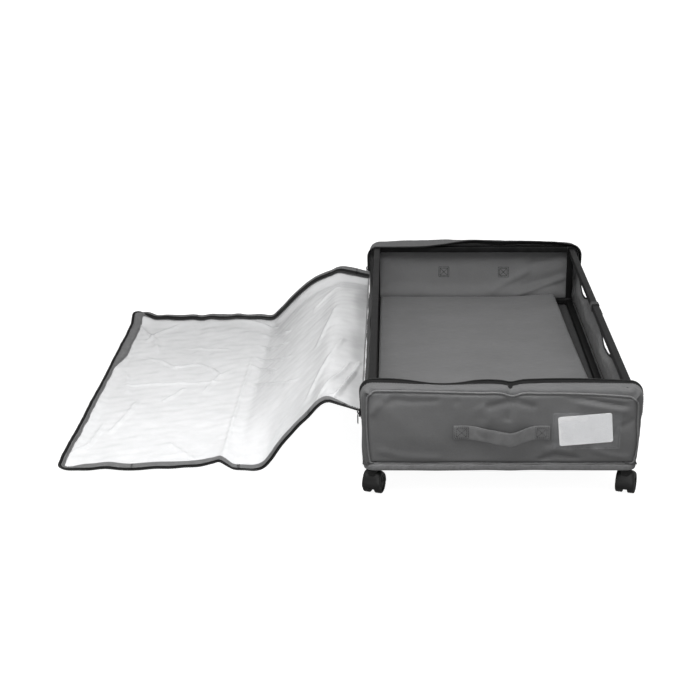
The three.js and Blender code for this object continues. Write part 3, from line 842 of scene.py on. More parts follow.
def end_strip(end):
    """Gusset strip, zipper tape and coil round three sides of an end."""
    way, name = end["way"], end["name"]
    a, b = rounded_outline(18, 14, False)
    low = 50.0
    seam = seam_points(end, a, b, low)
    ox, oz = mapped(end, "outer", a, b, low)
    zx, zz = mapped(end, "zip", a, b, low)
    depth0 = np.abs(seam[:, 1])
    upper = ease(b, 0.8, 1)
    zip_depth = table_at(end, "zip_depth", zx)
    zip_depth = np.where(b < 0.999, zip_depth * upper + 444.6 * (1 - upper), zip_depth)
    w = np.concatenate([np.linspace(0, 0.3, 8), np.linspace(0.3, 1, 10)[1:]])     # 0 seam, 1 zipper
    g = 1 - (1 - np.clip(w / 0.3, 0, 1)) ** 2
    k = ease(w, 0.4, 1.0)
    length = path_length(np.stack([ox, oz], 1))[:, None]
    P = np.empty((len(a), len(w), 3))
    outx = (seam[:, 0][:, None] * (1 - g) + ox[:, None] * g) * (1 - k) + zx[:, None] * k
    outz = (seam[:, 2][:, None] * (1 - g) + oz[:, None] * g) * (1 - k) + zz[:, None] * k
    depth = depth0[:, None] + (zip_depth - depth0)[:, None] * w + 2.4 * hill(w, 0.14, 0.12)
    normal = unit(np.stack([np.gradient(oz), -np.gradient(ox)], 1)) * -1
    normal = normal * np.sign((normal * np.stack([ox, oz - 120], 1)).sum(1))[:, None]
    rumple = (waves(length, w[None] * STRIP_WIDTH, end["seed"] + 5, 60) * 0.8
              + waves(length, w[None] * STRIP_WIDTH, end["seed"] + 6, 22) * 0.3)
    rumple = rumple * np.sin(np.pi * np.clip(w, 0, 1)) ** 0.7
    P[..., 0] = outx + normal[:, :1] * rumple
    P[..., 2] = outz + normal[:, 1:] * rumple
    P[..., 1] = way * depth
    if way < 0:
        fold_front_strip(P, w, b > 0.99)
    grid = P if way < 0 else P[::-1]
    Shape().skin(grid, 1.3).make(f"{name}_strip", STRIP, "bag", "grey_fabric", [f"{name}_gusset"])

    # folded hem with a stitch line, zipper tape tucked under it, coil on the tape's edge
    lip = np.stack([zx, way * zip_depth, zz], 1)
    upper = ease(b, 0.85, 1)
    tilt = np.radians(table_at(end, "tilt", zx)) * upper + math.radians(8) * (1 - upper)
    inward = np.array([0.0, -way, 0.0])
    out3 = np.stack([normal[:, 0], np.zeros(len(a)), normal[:, 1]], 1)
    reach = inward * np.cos(tilt)[:, None] + out3 * np.sin(tilt)[:, None]
    start = np.argmax((b > 0.6) & (a < 0))
    stop = len(a) - np.argmax(((b > 0.6) & (a > 0))[::-1])
    cut = slice(start, stop)
    edge = lip - out3 * 0.9
    rows = [lip - out3 * 1.7 - inward * 6, edge]
    rows += [edge + reach * (s - 0.3) / 0.7 * 8.2 for s in (0.55, 0.8, 1.0)]
    tape = np.stack(rows, 1)[cut]
    coil_line = tape[:, -1] + reach[cut] * 0.6
    zipper = Shape().skin(tape if way < 0 else tape[::-1], 0.9).coil(coil_line, 3, 1.55, 0.28)
    zipper.make(f"{name}_zip", [ZIP_TAPE, ZIP_COIL], "bag", "zip_metal")
    hem = lip - inward * 2.6 + out3 * 0.35
    Shape().stitches(hem[cut], out3[cut], *HEM_STITCH).make(f"{name}_zip_stitching", THREAD, "bag")


def end_panel(end):
    name = end["name"]
    columns = 132
    low_b, high_b = 5 / NOMINAL_H, 18 / NOMINAL_H
    b = np.concatenate([(1 - np.cos(np.linspace(0, math.pi / 2, 8))) * low_b,
                        np.linspace(low_b, 1 - high_b, 50)[1:-1],
                        1 - (1 - np.sin(np.linspace(0, math.pi / 2, 9))) * high_b])
    d_low, d_high = b * NOMINAL_H, (1 - b) * NOMINAL_H
    inset = np.where(d_low < 5, 5 - np.sqrt(np.clip(5**2 - (5 - d_low) ** 2, 0, None)), 0)
    inset = np.where(d_high < 18, 18 - np.sqrt(np.clip(18**2 - (18 - d_high) ** 2, 0, None)), inset)
    span = np.linspace(-1, 1, columns)
    A = span[:, None] * (1 - inset / NOMINAL_W)[None, :]
    B = np.broadcast_to(b[None, :], A.shape)
    x, z = mapped(end, "seam", A, B, SEAM_Z)
    P = np.stack([x, end["way"] * panel_depth(end, x, z), z], -1)
    grid = P if end["way"] < 0 else P[::-1]
    Shape().skin(grid, 1.4).make(f"{name}_wall", FABRIC, "bag", "grey_fabric", [f"{name}_panel"])

    # piping sewn into the seam all round the panel
    a, b = rounded_outline(18, 5, True)
    loop = seam_points(end, a, b)
    bottom = [[x, 0, SEAM_Z] for x in np.linspace(loop[-1, 0], loop[0, 0], 90)[1:-1]]
    loop = np.vstack([loop, bottom])
    loop[:, 1] = end["way"] * (panel_depth(end, loop[:, 0], np.clip(loop[:, 2], SEAM_Z, None)) + 2.6)
    Shape().pipe(loop, 1.6, 8, closed=True).make(f"{name}_piping", BINDING, "bag", "grey_fabric")


for end in (FRONT, BACK):
    end_panel(end)
    end_strip(end)

# ---- bottom welt, side walls, floor ---------------------------------------
WALL_END, WALL_FOOT = 444.4, 60.0
WELT_PROFILE = [(-3.2, 62.2), (-0.6, 61.4), (1.6, 59), (2.3, 56), (2.2, 52), (1.2, 49.2), (-0.8, 48.1),
                (-3.0, 48.6), (-4.6, 51), (-5.2, 56), (-5.0, 61)]
RIGHT_WALL_TOP = [(-444, 184), (-420, 176), (-380, 168), (-330, 165), (-270, 162), (-215, 156), (-170, 148),
                  (-140, 140), (-110, 132), (-85, 126), (-50, 122), (-10, 122), (10, 130), (30, 146),
                  (60, 158), (120, 162), (180, 158), (225, 148), (255, 136), (285, 126), (315, 121),
                  (350, 121), (372, 130), (392, 150), (415, 168), (444, 182)]
EYELET = [(4.6, 61.9), (10.6, 61.9), (11.0, 61.4), (11.0, 59.0), (10.4, 58.5), (5.2, 58.5), (4.6, 59.2)]


def floor_loop():
    """Rounded rectangle round the bag's floor, anticlockwise seen from above, and the distance along it."""
    x0, x1, y1, r = -233.0, 235.5, 466.0, 17.0
    corners = ((x1 - r, y1 - r, 0), (x0 + r, y1 - r, 90), (x0 + r, -y1 + r, 180), (x1 - r, -y1 + r, 270))
    pts = []
    for cx, cy, start in corners:
        pts += [(cx + r * math.cos(math.radians(start + t)), cy + r * math.sin(math.radians(start + t)))
                for t in np.linspace(0, 90, 9)]
    x, y, s = resampled(pts + pts[:1], 520, closed=True)
    return np.stack([x, y], 1), s


def bottom_welt():
    """Bound seam that stands down all round under the floor, with its stitch line."""
    ring, s = floor_loop()
    tangent = unit(np.roll(ring, -1, 0) - np.roll(ring, 1, 0))
    outward = np.stack([tangent[:, 1], -tangent[:, 0]], 1)
    sag = waves(s, s * 0, 31, 150) * 0.8
    welt = np.empty((len(ring), len(WELT_PROFILE), 3))
    for j, (out, z) in enumerate(WELT_PROFILE):
        welt[:, j, :2] = ring + outward * (out + 0.7 * waves(s, s * 0 + z, 33, 70) - 2.0)[:, None]
        welt[:, j, 2] = z + np.where(z < 58, sag, 0) * 0.6
    Shape().loft(welt, closed_path=True).make("bottom_welt", BINDING, "bag", "grey_fabric")
    line = np.hstack([ring + outward * 0.35, np.full((len(ring), 1), 57.6)])
    stitches = Shape().stitches(line, np.hstack([outward, np.zeros((len(ring), 1))]), 5.2, 3.4, 0.7, 0.4)
    stitches.make("welt_stitching", THREAD_LIGHT, "bag")


def left_wall():
    Y, T = np.meshgrid(np.linspace(-WALL_END, WALL_END, 150), np.linspace(0, 1, 26), indexing="ij")
    slack = ease(np.abs(Y), WALL_END, 410)
    Z = WALL_FOOT + (138.2 - WALL_FOOT) * T
    X = -235.4 - 1.2 * waves(Y, Z, 41, 170) * slack + 3.5 * hill(Z, 96, 24) * slack
    X = X - 0.5 * waves(Y, Z, 42, 50) * slack
    wall = Shape().skin(np.stack([X, Y, Z], -1)[::-1], 1.3)
    wall.make("left_side", WALL, "bag", "grey_fabric", ["left_wall"])


def right_wall():
    """Slack wall whose upper edge hangs in two bays, with the zipper along that edge."""
    y = np.linspace(-WALL_END, WALL_END, 150)
    top_z = spline(y, RIGHT_WALL_TOP)
    Y, T = np.meshgrid(y, np.linspace(0, 1, 44), indexing="ij")
    Z = WALL_FOOT + (top_z[:, None] - WALL_FOOT) * T
    slack = ease(np.abs(Y), WALL_END, 400)
    belly = 10 * hill(Z, 108 + 8 * waves(Y, Y * 0, 52, 400), 20)
    inward = (belly * (0.75 + 0.35 * waves(Y, Y * 0, 53, 260))
              + 4.0 * crease(Y, Z, [(-440, 132), (-250, 120), (-60, 128), (160, 116), (330, 128)], 8)
              - 3.0 * crease(Y, Z, [(-430, 150), (-260, 146), (-120, 134)], 9)
              + 3.0 * crease(Y, Z, [(60, 160), (200, 148), (300, 138)], 8)
              + 1.5 * waves(Y, Z, 51, 110) + 0.5 * waves(Y, Z, 54, 40)) * slack
    X = 236.0 - inward * ease(T, 0, 0.2) * (1 - ease(T, 0.8, 1))
    X = X - 6.0 * ease(Z, 132, 164) * ease(np.abs(Y), 446, 405)
    P = np.stack([X, Y, Z], -1)
    Shape().skin(P, 1.3).make("right_side", WALL, "bag", "grey_fabric", ["right_wall"])
    lip = P[:, -1]
    lean = unit(np.stack([0.1 + 0.12 * waves(y, y * 0, 57, 200), 0 * y, 1 + 0 * y], 1))
    lean *= (0.2 + 0.8 * ease(top_z, 127, 152))[:, None]        # the tape lies lower in the bays
    rows = [lip - [0.9, 0, 0] - lean * 4.0, lip - [1.0, 0, 0.3]]
    rows += [lip - [0.9, 0, 0] + lean * s for s in (2.3, 4.6, 6.6)]
    zipper = Shape().skin(np.stack(rows, 1), 0.9).coil(rows[-1] + lean * 0.5, 4, 1.2, 0.22)
    zipper.make("right_side_zip", [ZIP_TAPE, ZIP_COIL], "bag", "zip_metal")
    hem = Shape().stitches(lip - [0, 0, 2.6], (1, 0, 0), *HEM_STITCH)
    hem.make("right_side_stitching", THREAD, "bag")


def floor_cloth():
    """Floor of the bag with an eyelet round each castor stem."""
    X, Y = np.meshgrid(np.linspace(-235, 235.6, 62), np.linspace(-464.5, 464.5, 118), indexing="ij")
    inner = ease(np.minimum(233 - np.abs(X), 462 - np.abs(Y)), 0, 60)
    Z = 61.0 - 0.9 * (waves(X, Y, 61, 160) + 1) * inner
    hole = 9.4
    for _, sx, sy in CORNERS:
        d = np.hypot(X - sx * CX, Y - sy * CY)
        push = np.where(d < hole, hole / np.maximum(d, 1e-6), 1)
        X = np.where(d < hole, sx * CX + (X - sx * CX) * push, X)
        Y = np.where(d < hole, sy * CY + (Y - sy * CY) * push, Y)
    cloth = Shape().skin(np.stack([X, Y, Z], -1), 1.2)
    cloth.make("floor_cloth", SHADED_LINING, "bag", "grey_fabric", ["bag_floor"])
    for tag, sx, sy in CORNERS:
        eyelet = Shape().lathe(EYELET, (sx * CX, sy * CY, 0), (0, 0, 1), (1, 0, 0), 32, closed_profile=True)
        eyelet.make(f"stem_eyelet_{tag}", PULL, "bag", "zinc_steel")


bottom_welt()
left_wall()
right_wall()
floor_cloth()

# ---- base board -----------------------------------------------------------
BOARD_LEFT, BOARD_END, BOARD_TOP, BOARD_ROUND = -211.0, 443.0, 82.6, 3.2


def board_lift(x, y):
    """The board's back right corner stands up a little."""
    return 7.0 * ease(y, 150, BOARD_END) * ease(x, 60, 205)


def to_edges(t):
    """Even steps from 0 to 1, drawn closer together towards both ends."""
    return 0.7 * t + 0.3 * (0.5 - 0.5 * np.cos(np.pi * np.clip(t, 0, 1)))


def base_board():
    across, along = np.meshgrid(np.linspace(0, 1, 96), np.linspace(0, 1, 150), indexing="ij")
    y = -BOARD_END + 2 * BOARD_END * to_edges(along)
    right = 205.5 - 22.0 * (y + BOARD_END) / (2 * BOARD_END)        # narrower at the back
    x = BOARD_LEFT + (right - BOARD_LEFT) * to_edges(across)
    d_edge = np.minimum(np.minimum(x - BOARD_LEFT, right - x), BOARD_END - np.abs(y))
    inset = BOARD_ROUND - np.clip(d_edge, 0, BOARD_ROUND)
    round_off = BOARD_ROUND - np.sqrt(np.clip(BOARD_ROUND**2 - inset**2, 0, None))
    lift = board_lift(x, y) + 0.9 * waves(x, y, 71, 420) * ease(d_edge, 0, 80)
    top = np.stack([x, y, BOARD_TOP + lift - round_off + 0.5 * hill(d_edge, 7, 4)], -1)
    low = np.stack([x, y, 75.6 + lift + round_off], -1)
    Shape().slab(top, low).make("board", BOARD, "base_board", "board_cloth", ["base_board"], sharp=60)
    rim = [(-208, -440), (right[0, 0] - 3, -440), (180.5, 440), (-208, 440), (-208, -440)]
    x, y, _ = resampled(rim, 700)
    stitches = Shape().stitches(np.stack([x, y, 82.9 + board_lift(x, y)], 1), (0, 0, 1), 5.0, 3.4, 0.7, 0.5)
    stitches.make("board_stitching", THREAD_LIGHT, "base_board", "board_cloth")


base_board()

# ---- webbing handles ------------------------------------------------------
HANDLE_Z, WEBBING_EDGE = 122.5, 13.0
HANDLE_DROOP = [(-80, 0), (-52, 0), (-38, 0.5), (-20, 2.4), (-4, 4.8), (9, 6.8), (15, 7.6), (21, 6.6),
                (33, 3.2), (45, 0.6), (56, 0), (83, 0)]
HANDLE_BOW = [(-80, 0), (-54, 0), (-46, 2.2), (-30, 8), (-8, 13), (14, 15), (34, 12), (48, 5), (56, 0.8),
              (60, 0), (83, 0)]


def rectangle(x0, x1, z0, z1):
    return [(x0, z0), (x1, z0), (x1, z1), (x0, z1), (x0, z0)]


def handle(end):
    """Strap with both ends box-stitched flat, its middle bowed off the panel and drooping to a crease."""
    way, name = end["way"], end["name"]
    x = np.concatenate([np.linspace(-80, -52, 12), np.linspace(-52, 57, 70)[1:], np.linspace(57, 83, 12)[1:]])
    bow = spline(x, HANDLE_BOW)[:, None]
    half = np.array([4, 8, 11.6, 12.5, WEBBING_EDGE])
    X, V = np.meshgrid(x, np.concatenate([-half[::-1], [0], half]), indexing="ij")
    level = HANDLE_Z + end["handle_up"]
    Z = (level - spline(x, HANDLE_DROOP))[:, None] + V
    base = panel_depth(end, X, level + V) + 1.0
    twist = 0.10 * V * np.sin(np.pi * np.clip((X + 52) / 109, 0, 1))
    selvage = 0.25 * (np.abs(V) > 12)
    outer = base + 1.9 + bow + twist - selvage + 0.15 * (np.abs(np.abs(V) - 11.6) < 0.1)
    inner = base + bow + twist + selvage
    outer += 0.35 * waves(X, V, end["seed"] + 9, 26)
    top, low = np.stack([X, way * outer, Z], -1), np.stack([X, way * inner, Z], -1)
    uv = np.stack([V - V.min() + 0 * X, X + 0 * V], -1)
    if way > 0:
        top, low, uv = top[::-1], low[::-1], uv[::-1]
    Shape().slab(top, low, uv=uv).make(f"{name}_strap", WEBBING, "bag", "grey_webbing", [f"{name}_handle"])
    stitch = Shape()
    for x0, x1 in ((-78, -55), (58, 81)):
        z0, z1 = level - 11.2, level + 11.2
        box = rectangle(x0 + 3, x1 - 3, z0 + 3, z1 - 3)
        for path in (rectangle(x0, x1, z0, z1), box, [box[0], box[2]], [box[3], box[1]]):
            px, pz, _ = resampled(path)
            stitch.stitches(on_panel(end, px, pz, 3.05), (0, way, 0), 3.2, 2.6, 1.2, 0.7)
            stitch.stitches(on_panel(end, px, pz, -1.55), (0, -way, 0), 3.0, 2.8, 2.3, 0.9)
    stitch.make(f"{name}_handle_stitching", THREAD, "bag", "grey_webbing")


handle(FRONT)
handle(BACK)


# ---- label pocket and card ------------------------------------------------
def rounded_patch(x0, x1, z0, z1, r, nx=30, nz=20):
    """Grid over a rounded rectangle, in face coordinates."""
    u = np.linspace(-1, 1, nx)
    e = 0.5 - 0.5 * np.cos(np.linspace(0, math.pi, nz))
    z = z0 + (z1 - z0) * e
    d = np.minimum(z - z0, z1 - z)
    cut = np.where(d < r, r - np.sqrt(np.clip(r * r - (r - d) ** 2, 0, None)), 0)
    half = (x1 - x0) / 2 - cut
    return (x0 + x1) / 2 + u[:, None] * half[None], np.broadcast_to(z[None], (nx, nz))


def label_pocket():
    """Clear film on the front panel, stitched on three sides and open at its top."""
    x0, x1, z0, z1 = 87, 203, 92, 160
    x, z = rounded_patch(x0, x1, z0, z1, 3.0, 44, 28)
    puff = 1.2 * np.sin(np.pi * np.clip((x - x0) / (x1 - x0), 0, 1))
    puff = puff * np.sin(np.pi * np.clip((z - z0) / (z1 - z0), 0, 1))
    puff += 0.35 * waves(x, z, 81, 34) + 1.6 * hill(z, z1, 8) * hill(x, 145, 50)
    film = on_panel(FRONT, x, z, 2.0) + np.stack([0 * x, -np.maximum(puff, -0.4), 0 * x], -1)
    Shape().skin(film, 0.35).make("pocket_film", POCKET, "bag", "pocket_film", ["label_pocket"])
    px, pz, _ = resampled([(89.6, 158.5), (89.6, 94.6), (200.4, 94.6), (200.4, 158.5)], 240)
    weld = Shape().stitches(on_panel(FRONT, px, pz, 2.35), (0, -1, 0), 3.6, 2.5, 0.7, 0.5)
    weld.make("pocket_stitching", THREAD, "bag", "pocket_film")


def label_card():
    """Business card, a little askew, flat on the panel's mean slope behind the film."""
    x, z = rounded_patch(-45.4, 45.4, -27.5, 27.5, 3.6, 30, 20)
    tilt = math.radians(5.5)
    cx = 143.2 + x * math.cos(tilt) - z * math.sin(tilt)
    cz = 129.2 + x * math.sin(tilt) + z * math.cos(tilt)
    mid_x, mid_z = 144.2, 125.4
    slope_x = (panel_depth(FRONT, 184.0, mid_z) - panel_depth(FRONT, 104.0, mid_z)) / 80
    slope_z = (panel_depth(FRONT, mid_x, 148.0) - panel_depth(FRONT, mid_x, 102.0)) / 46
    depth = panel_depth(FRONT, mid_x, mid_z) + slope_x * (cx - mid_x) + slope_z * (cz - mid_z) + 1.6
    depth = np.maximum(depth, panel_depth(FRONT, cx, cz) + 0.9)
    card = Shape().skin(np.stack([cx, -depth, cz], -1), 0.5, uv=np.stack([x, z], -1))
    card.make("card", CARD, "label_card", "card", ["label_card"])


label_pocket()
label_card()


# ---- rail loop ------------------------------------------------------------
def rail_loop():
    """Fabric loop round the right rail, its tail sewn to the right wall's edge."""
    half = TUBE / 2
    rings = []
    for k, corner in enumerate(square_ring(2.6, 5) / half):
        wobble = 0.3 * math.sin(k * 1.7)
        y0, y1 = 9.5 + wobble, 26.5 + wobble
        (ox, oz), (ix, iz) = corner * (half + 1.7), corner * (half + 0.35)
        rings.append([(CX + ox, y0, Z_HIGH + oz), (CX + ox, y1, Z_HIGH + oz),
                      (CX + ix, y1, Z_HIGH + iz), (CX + ix, y0, Z_HIGH + iz)])
    tab = Shape().loft(np.array(rings)[::-1], closed_path=True)
    y, t = np.meshgrid(np.linspace(10, 26, 8), np.linspace(0, 1, 8), indexing="ij")
    tail = np.stack([226.4 + 8.0 * t, y + 0 * t, 192 - 14 * t + 1.5 * np.sin(3 * t)], -1)
    tab.skin(tail[:, ::-1], 1.1)
    tab.make("rail_tab", cloth_look("loop_cloth", 0.03), "bag", "grey_fabric", ["rail_loop_right"])


rail_loop()


# ---- zip sliders and pulls ------------------------------------------------
def slider_body(side, y):
    """Two plates joined by a post and two side flanges, with an arch for the pull."""
    s = Shape()
    s.rounded_box((-241.1, y - 4.5, 141), (-239.3, y + 4.5, 154), 0.8, 2)
    s.rounded_box((-237.9, y - 4.5, 141.6), (-236.2, y + 4.5, 153.4), 0.8, 2)
    s.rounded_box((-239.6, y - 1.1, 147), (-237.6, y + 1.1, 153.6), 0.5, 2)
    s.rounded_box((-239.6, y - 4.5, 141.2), (-238.0, y - 3.6, 147), 0.4, 2)
    s.rounded_box((-239.6, y + 3.6, 141.2), (-238.0, y + 4.5, 147), 0.4, 2)
    arch = [(-240.6 - 2.9 * math.sin(math.pi * t), y, 145.5 + 7.2 * t) for t in np.linspace(0, 1, 14)]
    s.pipe(arch, 0.95, 8)
    s.make(f"slider_{side}_body", PULL, f"slider_{side}", "zip_metal", [f"zip_slider_{side}"])


def pull_tab(side, y):
    """Flat tab with a round lower end, an eye for the arch and a raised grip."""
    x0, x1 = -243.3, -241.9
    eye_z, half, low_z = 149.4, 3.5, 126.8
    outline = [(y - half * math.cos(t), low_z + half - half * math.sin(t))
               for t in np.linspace(0, math.pi, 13)]
    outline += [(y + 3.0, 147), (y + 2.7, 151.4), (y + 1.6, 152.6)]
    outline += [(y - 1.6, 152.6), (y - 2.7, 151.4), (y - 3.0, 147)]
    rings = []
    for oy, oz in outline:
        angle = math.atan2(oz - eye_z, oy - y)
        iy, iz = y + 1.5 * math.cos(angle), eye_z + 1.9 * math.sin(angle)
        x_back = x0 + (x1 - x0)
        rings.append([(x0, oy, oz), (x0, iy, iz), (x_back, iy, iz), (x_back, oy, oz)])
    tab = Shape().loft(rings, closed_path=True)
    tab.rounded_box((x0 - 0.5, y - 2.2, 129.5), (x0 + 0.4, y + 2.2, 142.5), 0.35, 2)
    tab.make(f"pull_{side}_tab", PULL, f"pull_{side}", "zip_metal", [f"zip_pull_{side}"])


for side, sy in (("front", -1), ("back", 1)):
    slider_body(side, sy * 444.5)
    pull_tab(side, sy * 444.5)

# ---- lid ------------------------------------------------------------------
# Flat pattern coordinates: s runs from the hinge seam to the far end, q across it,
# -444 at the front edge. lid_point() lays the pattern where the open lid lies.
CHAIN_S = np.array([0, 64.7, 293.57, 539.5, 605.5])
CHAIN = np.array([(-237.4, 137.5), (-299.9, 154.25), (-469.98, 1.1), (-715.91, 1.1), (-781.91, 1.1)])
LID_LENGTH, LID_HALF, SWAY = 605.5, 444.0, 50.0


def chain_at(s):
    """Side view of the lid: the hinge chain with its folds rounded by the sheet's stiffness."""
    s = np.asarray(s, float)
    spread = np.where(s < 180, 17.0, 11.0) * ease(s, 0, 34)
    out = 0
    taps = np.linspace(-2, 2, 9)
    weights = np.exp(-taps**2)
    for tap, weight in zip(taps, weights / weights.sum()):
        t = s + tap * spread
        x = np.interp(t, CHAIN_S, CHAIN[:, 0])
        z = np.interp(t, CHAIN_S, CHAIN[:, 1])
        beyond = np.clip(t - LID_LENGTH, 0, None)
        out = out + weight * np.stack([x - beyond, z], -1)
    return out


SWAY_FROM, SWAY_TO = chain_at(98.0), chain_at(274.0)

FRONT_LIFT = [(0, 1), (22, 2), (45, 3), (60, 5), (80, 2), (100, -4), (125, -8), (150, -15), (180, -25),
              (205, -32), (228, -34), (248, -27), (268, -14), (288, 0), (302, 11), (313, 17), (324, 13),
              (345, 7), (380, 4), (430, 4), (470, 1.5), (510, 4), (545, 1.5), (590, 1), (617, 2)]
BACK_LIFT = [(0, -9), (30, -13), (60, -15), (84, -12), (107, -4), (140, 3), (190, 3), (240, 1), (300, 2),
             (380, 3), (480, 2), (560, 2), (600, 2), (617, 2)]
CREASES = [([(315, -430), (314, -330), (317, -204), (319, -67), (318, 52), (320, 213)], 5.5, 3.0),
           ([(549, 192), (511, 159), (473, 120), (450, 140), (426, 146), (397, 114), (366, 52)], 6, 4.2),
           ([(491, 254), (434, 247), (366, 233)], 6, 2.6), ([(573, 15), (470, 21), (356, 39)], 5, 2.6),
           ([(325, 353), (259, 293), (206, 234)], 6, 3.4), ([(312, 274), (272, 209), (205, 157)], 6, 3.4),
           ([(318, 199), (255, 109), (181, 27)], 6, 3.0), ([(320, 140), (265, 66), (224, -12)], 6, 3.0),
           ([(374, 428), (314, 405), (265, 355)], 6, 3.4), ([(314, 39), (187, -127), (134, -168)], 6, 2.6),
           ([(75, -400), (45, -379), (24, -274), (4, -150)], 6, 4.2),
           ([(96, -380), (75, -355), (43, -261), (23, -175)], 5, 3.6),
           ([(57, -425), (33, -306), (10, -221)], 5, 3.4),
           ([(120, -330), (90, -240), (60, -150), (40, -40)], 9, 2.6),
           ([(110, -60), (80, 60), (60, 170)], 10, 2.2), ([(140, 260), (100, 300), (60, 330)], 9, 2.6),
           ([(474, -90), (451, -38), (436, 3)], 6, 2.2), ([(546, -256), (525, -151), (518, -67)], 7, 2.8),
           ([(604, 430), (575, 370), (540, 300), (520, 200)], 7, 3.6),
           ([(560, 282), (539, 353), (501, 413)], 7, 3.2),
           ([(596, -380), (570, -300), (560, -180)], 7, 3.0),
           ([(430, -300), (400, -340), (360, -400)], 9, 2.4),
           ([(590, 120), (560, 60), (545, -40)], 8, 2.6), ([(350, 120), (380, 60), (400, -40)], 8, 2.0)]


def lid_point(s, q, lift=0.0):
    """Place pattern points (s, q) in the world, raised by lift along the sheet's normal."""
    s, q = np.broadcast_arrays(np.asarray(s, float), np.asarray(q, float))
    base = chain_at(s)
    x, z = base[..., 0].copy(), base[..., 1].copy()
    v = (q + LID_HALF) / (2 * LID_HALF)
    near_front, near_back = (1 - ease(v, 0.0, 0.42)) ** 1.3, ease(v, 0.62, 1.0) ** 1.3
    z += spline(s, FRONT_LIFT) * near_front + spline(s, BACK_LIFT) * near_back
    x += 12 * hill(s, 235, 50) * near_front
    z += 6.0 * hill(s, 70, 42) * (0.35 + 0.5 * waves(q, q * 0, 91, 420)) * (1 - near_front) * (1 - near_back)
    z += ease(q, 386, 440) * (8.0 + 10.0 * (1 - ease(s, 220, 300))) + 6.5 * ease(-q, 404, 440)
    z += 7.0 * ease(s, 574, 600) * ease(np.abs(q), 440, 380) + 15.0 * ease(s, 552, 596) * ease(q, 384, 430)
    d = SWAY_TO - SWAY_FROM
    t = np.clip(((x - SWAY_FROM[0]) * d[0] + (z - SWAY_FROM[1]) * d[1]) / (d @ d), 0, 1)
    y = q * (1 - 0.036 * ease(s, 20, 130)) + SWAY * t * t * (3 - 2 * t)
    y = y - 12.0 * ease(v, 0.8, 1.0) * (1 - ease(s, 60, 140))
    y = y - 14.0 * ease(v, 0.86, 1.0) * (1 - ease(s, 2, 44))
    y = y + 24.0 * ease(s, 225, 300) * v
    x = x + 14.0 * (v - 0.2) * ease(s, 150, 300) - 15.0 * v * ease(s, 420, LID_LENGTH)
    rough = ease(s, 6, 40)
    bumps = np.zeros_like(z)
    for line, width, height in CREASES:
        bumps = bumps + 1.15 * height * crease(s, q, line, 0.62 * width)
    on_floor = ease(s, 285, 330)
    rumple = (waves(s, q * 0.6, 92, 120) * 2.2 + waves(s, q, 93, 42) * 0.7 + 1.6) * rough
    bumps = bumps + rumple * (0.5 + 0.5 * on_floor)
    bumps = bumps + 1.2 * waves(s, q * 0.35, 94, 34) * ease(v, 0.35, 0.7) * on_floor
    bumps = np.where(s > 290, np.maximum(bumps, 0), bumps)
    slope = unit(chain_at(s + 3) - chain_at(s - 3))
    h = bumps + lift
    out = np.stack([x + slope[..., 1] * h, y, z - slope[..., 0] * h], -1)
    out[..., 2] = np.maximum(out[..., 2], 0.55 + np.asarray(lift) * 0.9)
    return out


SLICES = [  # name, from, to, bodies, blend from, blend to, CAD nodes
    ("hinge", 0.0, 30.0, ("bag", "lid_flap"), 1.0, 15.0, ["lid_hinge_flap"]),
    ("crown", 30.0, 96.0, ("lid_flap", "lid_near"), 44.0, 88.0, ["lid_near_panel"]),
    ("slope", 96.0, 276.0, ("lid_near", "lid_fold"), None, None, ["lid_fold_strip"]),
    ("floor", 276.0, 470.0, ("lid_fold", "lid_far"), 278.0, 312.0, ["lid_far_panel"]),
    ("end", 470.0, LID_LENGTH, ("lid_far", "lid_end"), 523.0, 556.0, ["lid_end_skirt"]),
]
R_FRONT, R_BACK, BORDER = 34.0, 26.0, 21.0


def edge_half(s):
    """Half width of the pattern: the hinge flap is a little narrower than the panels."""
    return 433.0 + 11.0 * ease(s, 34, 80)


def pattern_outline():
    """Outer edge of the flat pattern from the hinge's front end, round the far end, to its back end."""
    s_front = np.arange(0, LID_LENGTH - R_FRONT, 3.0)
    pts = [(s, -edge_half(s)) for s in s_front]
    pts += [(LID_LENGTH - R_FRONT + R_FRONT * math.sin(t), -LID_HALF + R_FRONT * (1 - math.cos(t)))
            for t in np.linspace(0, math.pi / 2, 16)]
    pts += [(LID_LENGTH, q) for q in np.linspace(-LID_HALF + R_FRONT, LID_HALF - R_BACK, 230)[1:-1]]
    pts += [(LID_LENGTH - R_BACK + R_BACK * math.cos(t), LID_HALF - R_BACK * (1 - math.sin(t)))
            for t in np.linspace(0, math.pi / 2, 14)]
    pts += [(s, edge_half(s)) for s in np.arange(LID_LENGTH - R_BACK, -0.01, -3.0)[1:]]
    pts.append((0.0, 433.0))
    p = np.array(pts)
    keep = np.concatenate([[True], np.hypot(*np.diff(p, axis=0).T) > 0.2])
    return p[keep]


outline = pattern_outline()
edge_t = unit(np.gradient(outline, axis=0))
edge_in = np.stack([-edge_t[:, 1], edge_t[:, 0]], 1)
if edge_in[10, 1] < 0:
    edge_in = -edge_in
to_end = LID_LENGTH - outline[:, 0]
# curl: the back edge folds over inwards. roll: the front edge rolls up. wide, far: how much cloth
# shows at the far end, more at its back.
curl = ease(outline[:, 1], 380, 430) * ease(to_end, 6, 40)
roll = ease(-outline[:, 1], 400, 440) * ease(to_end, 10, 60) * ease(outline[:, 0], 4, 60)
wide = ease(outline[:, 1], 90, 190) * ease(outline[:, 0], LID_LENGTH - 28, LID_LENGTH - 6)
far = ease(outline[:, 0], LID_LENGTH - 22, LID_LENGTH - 4)


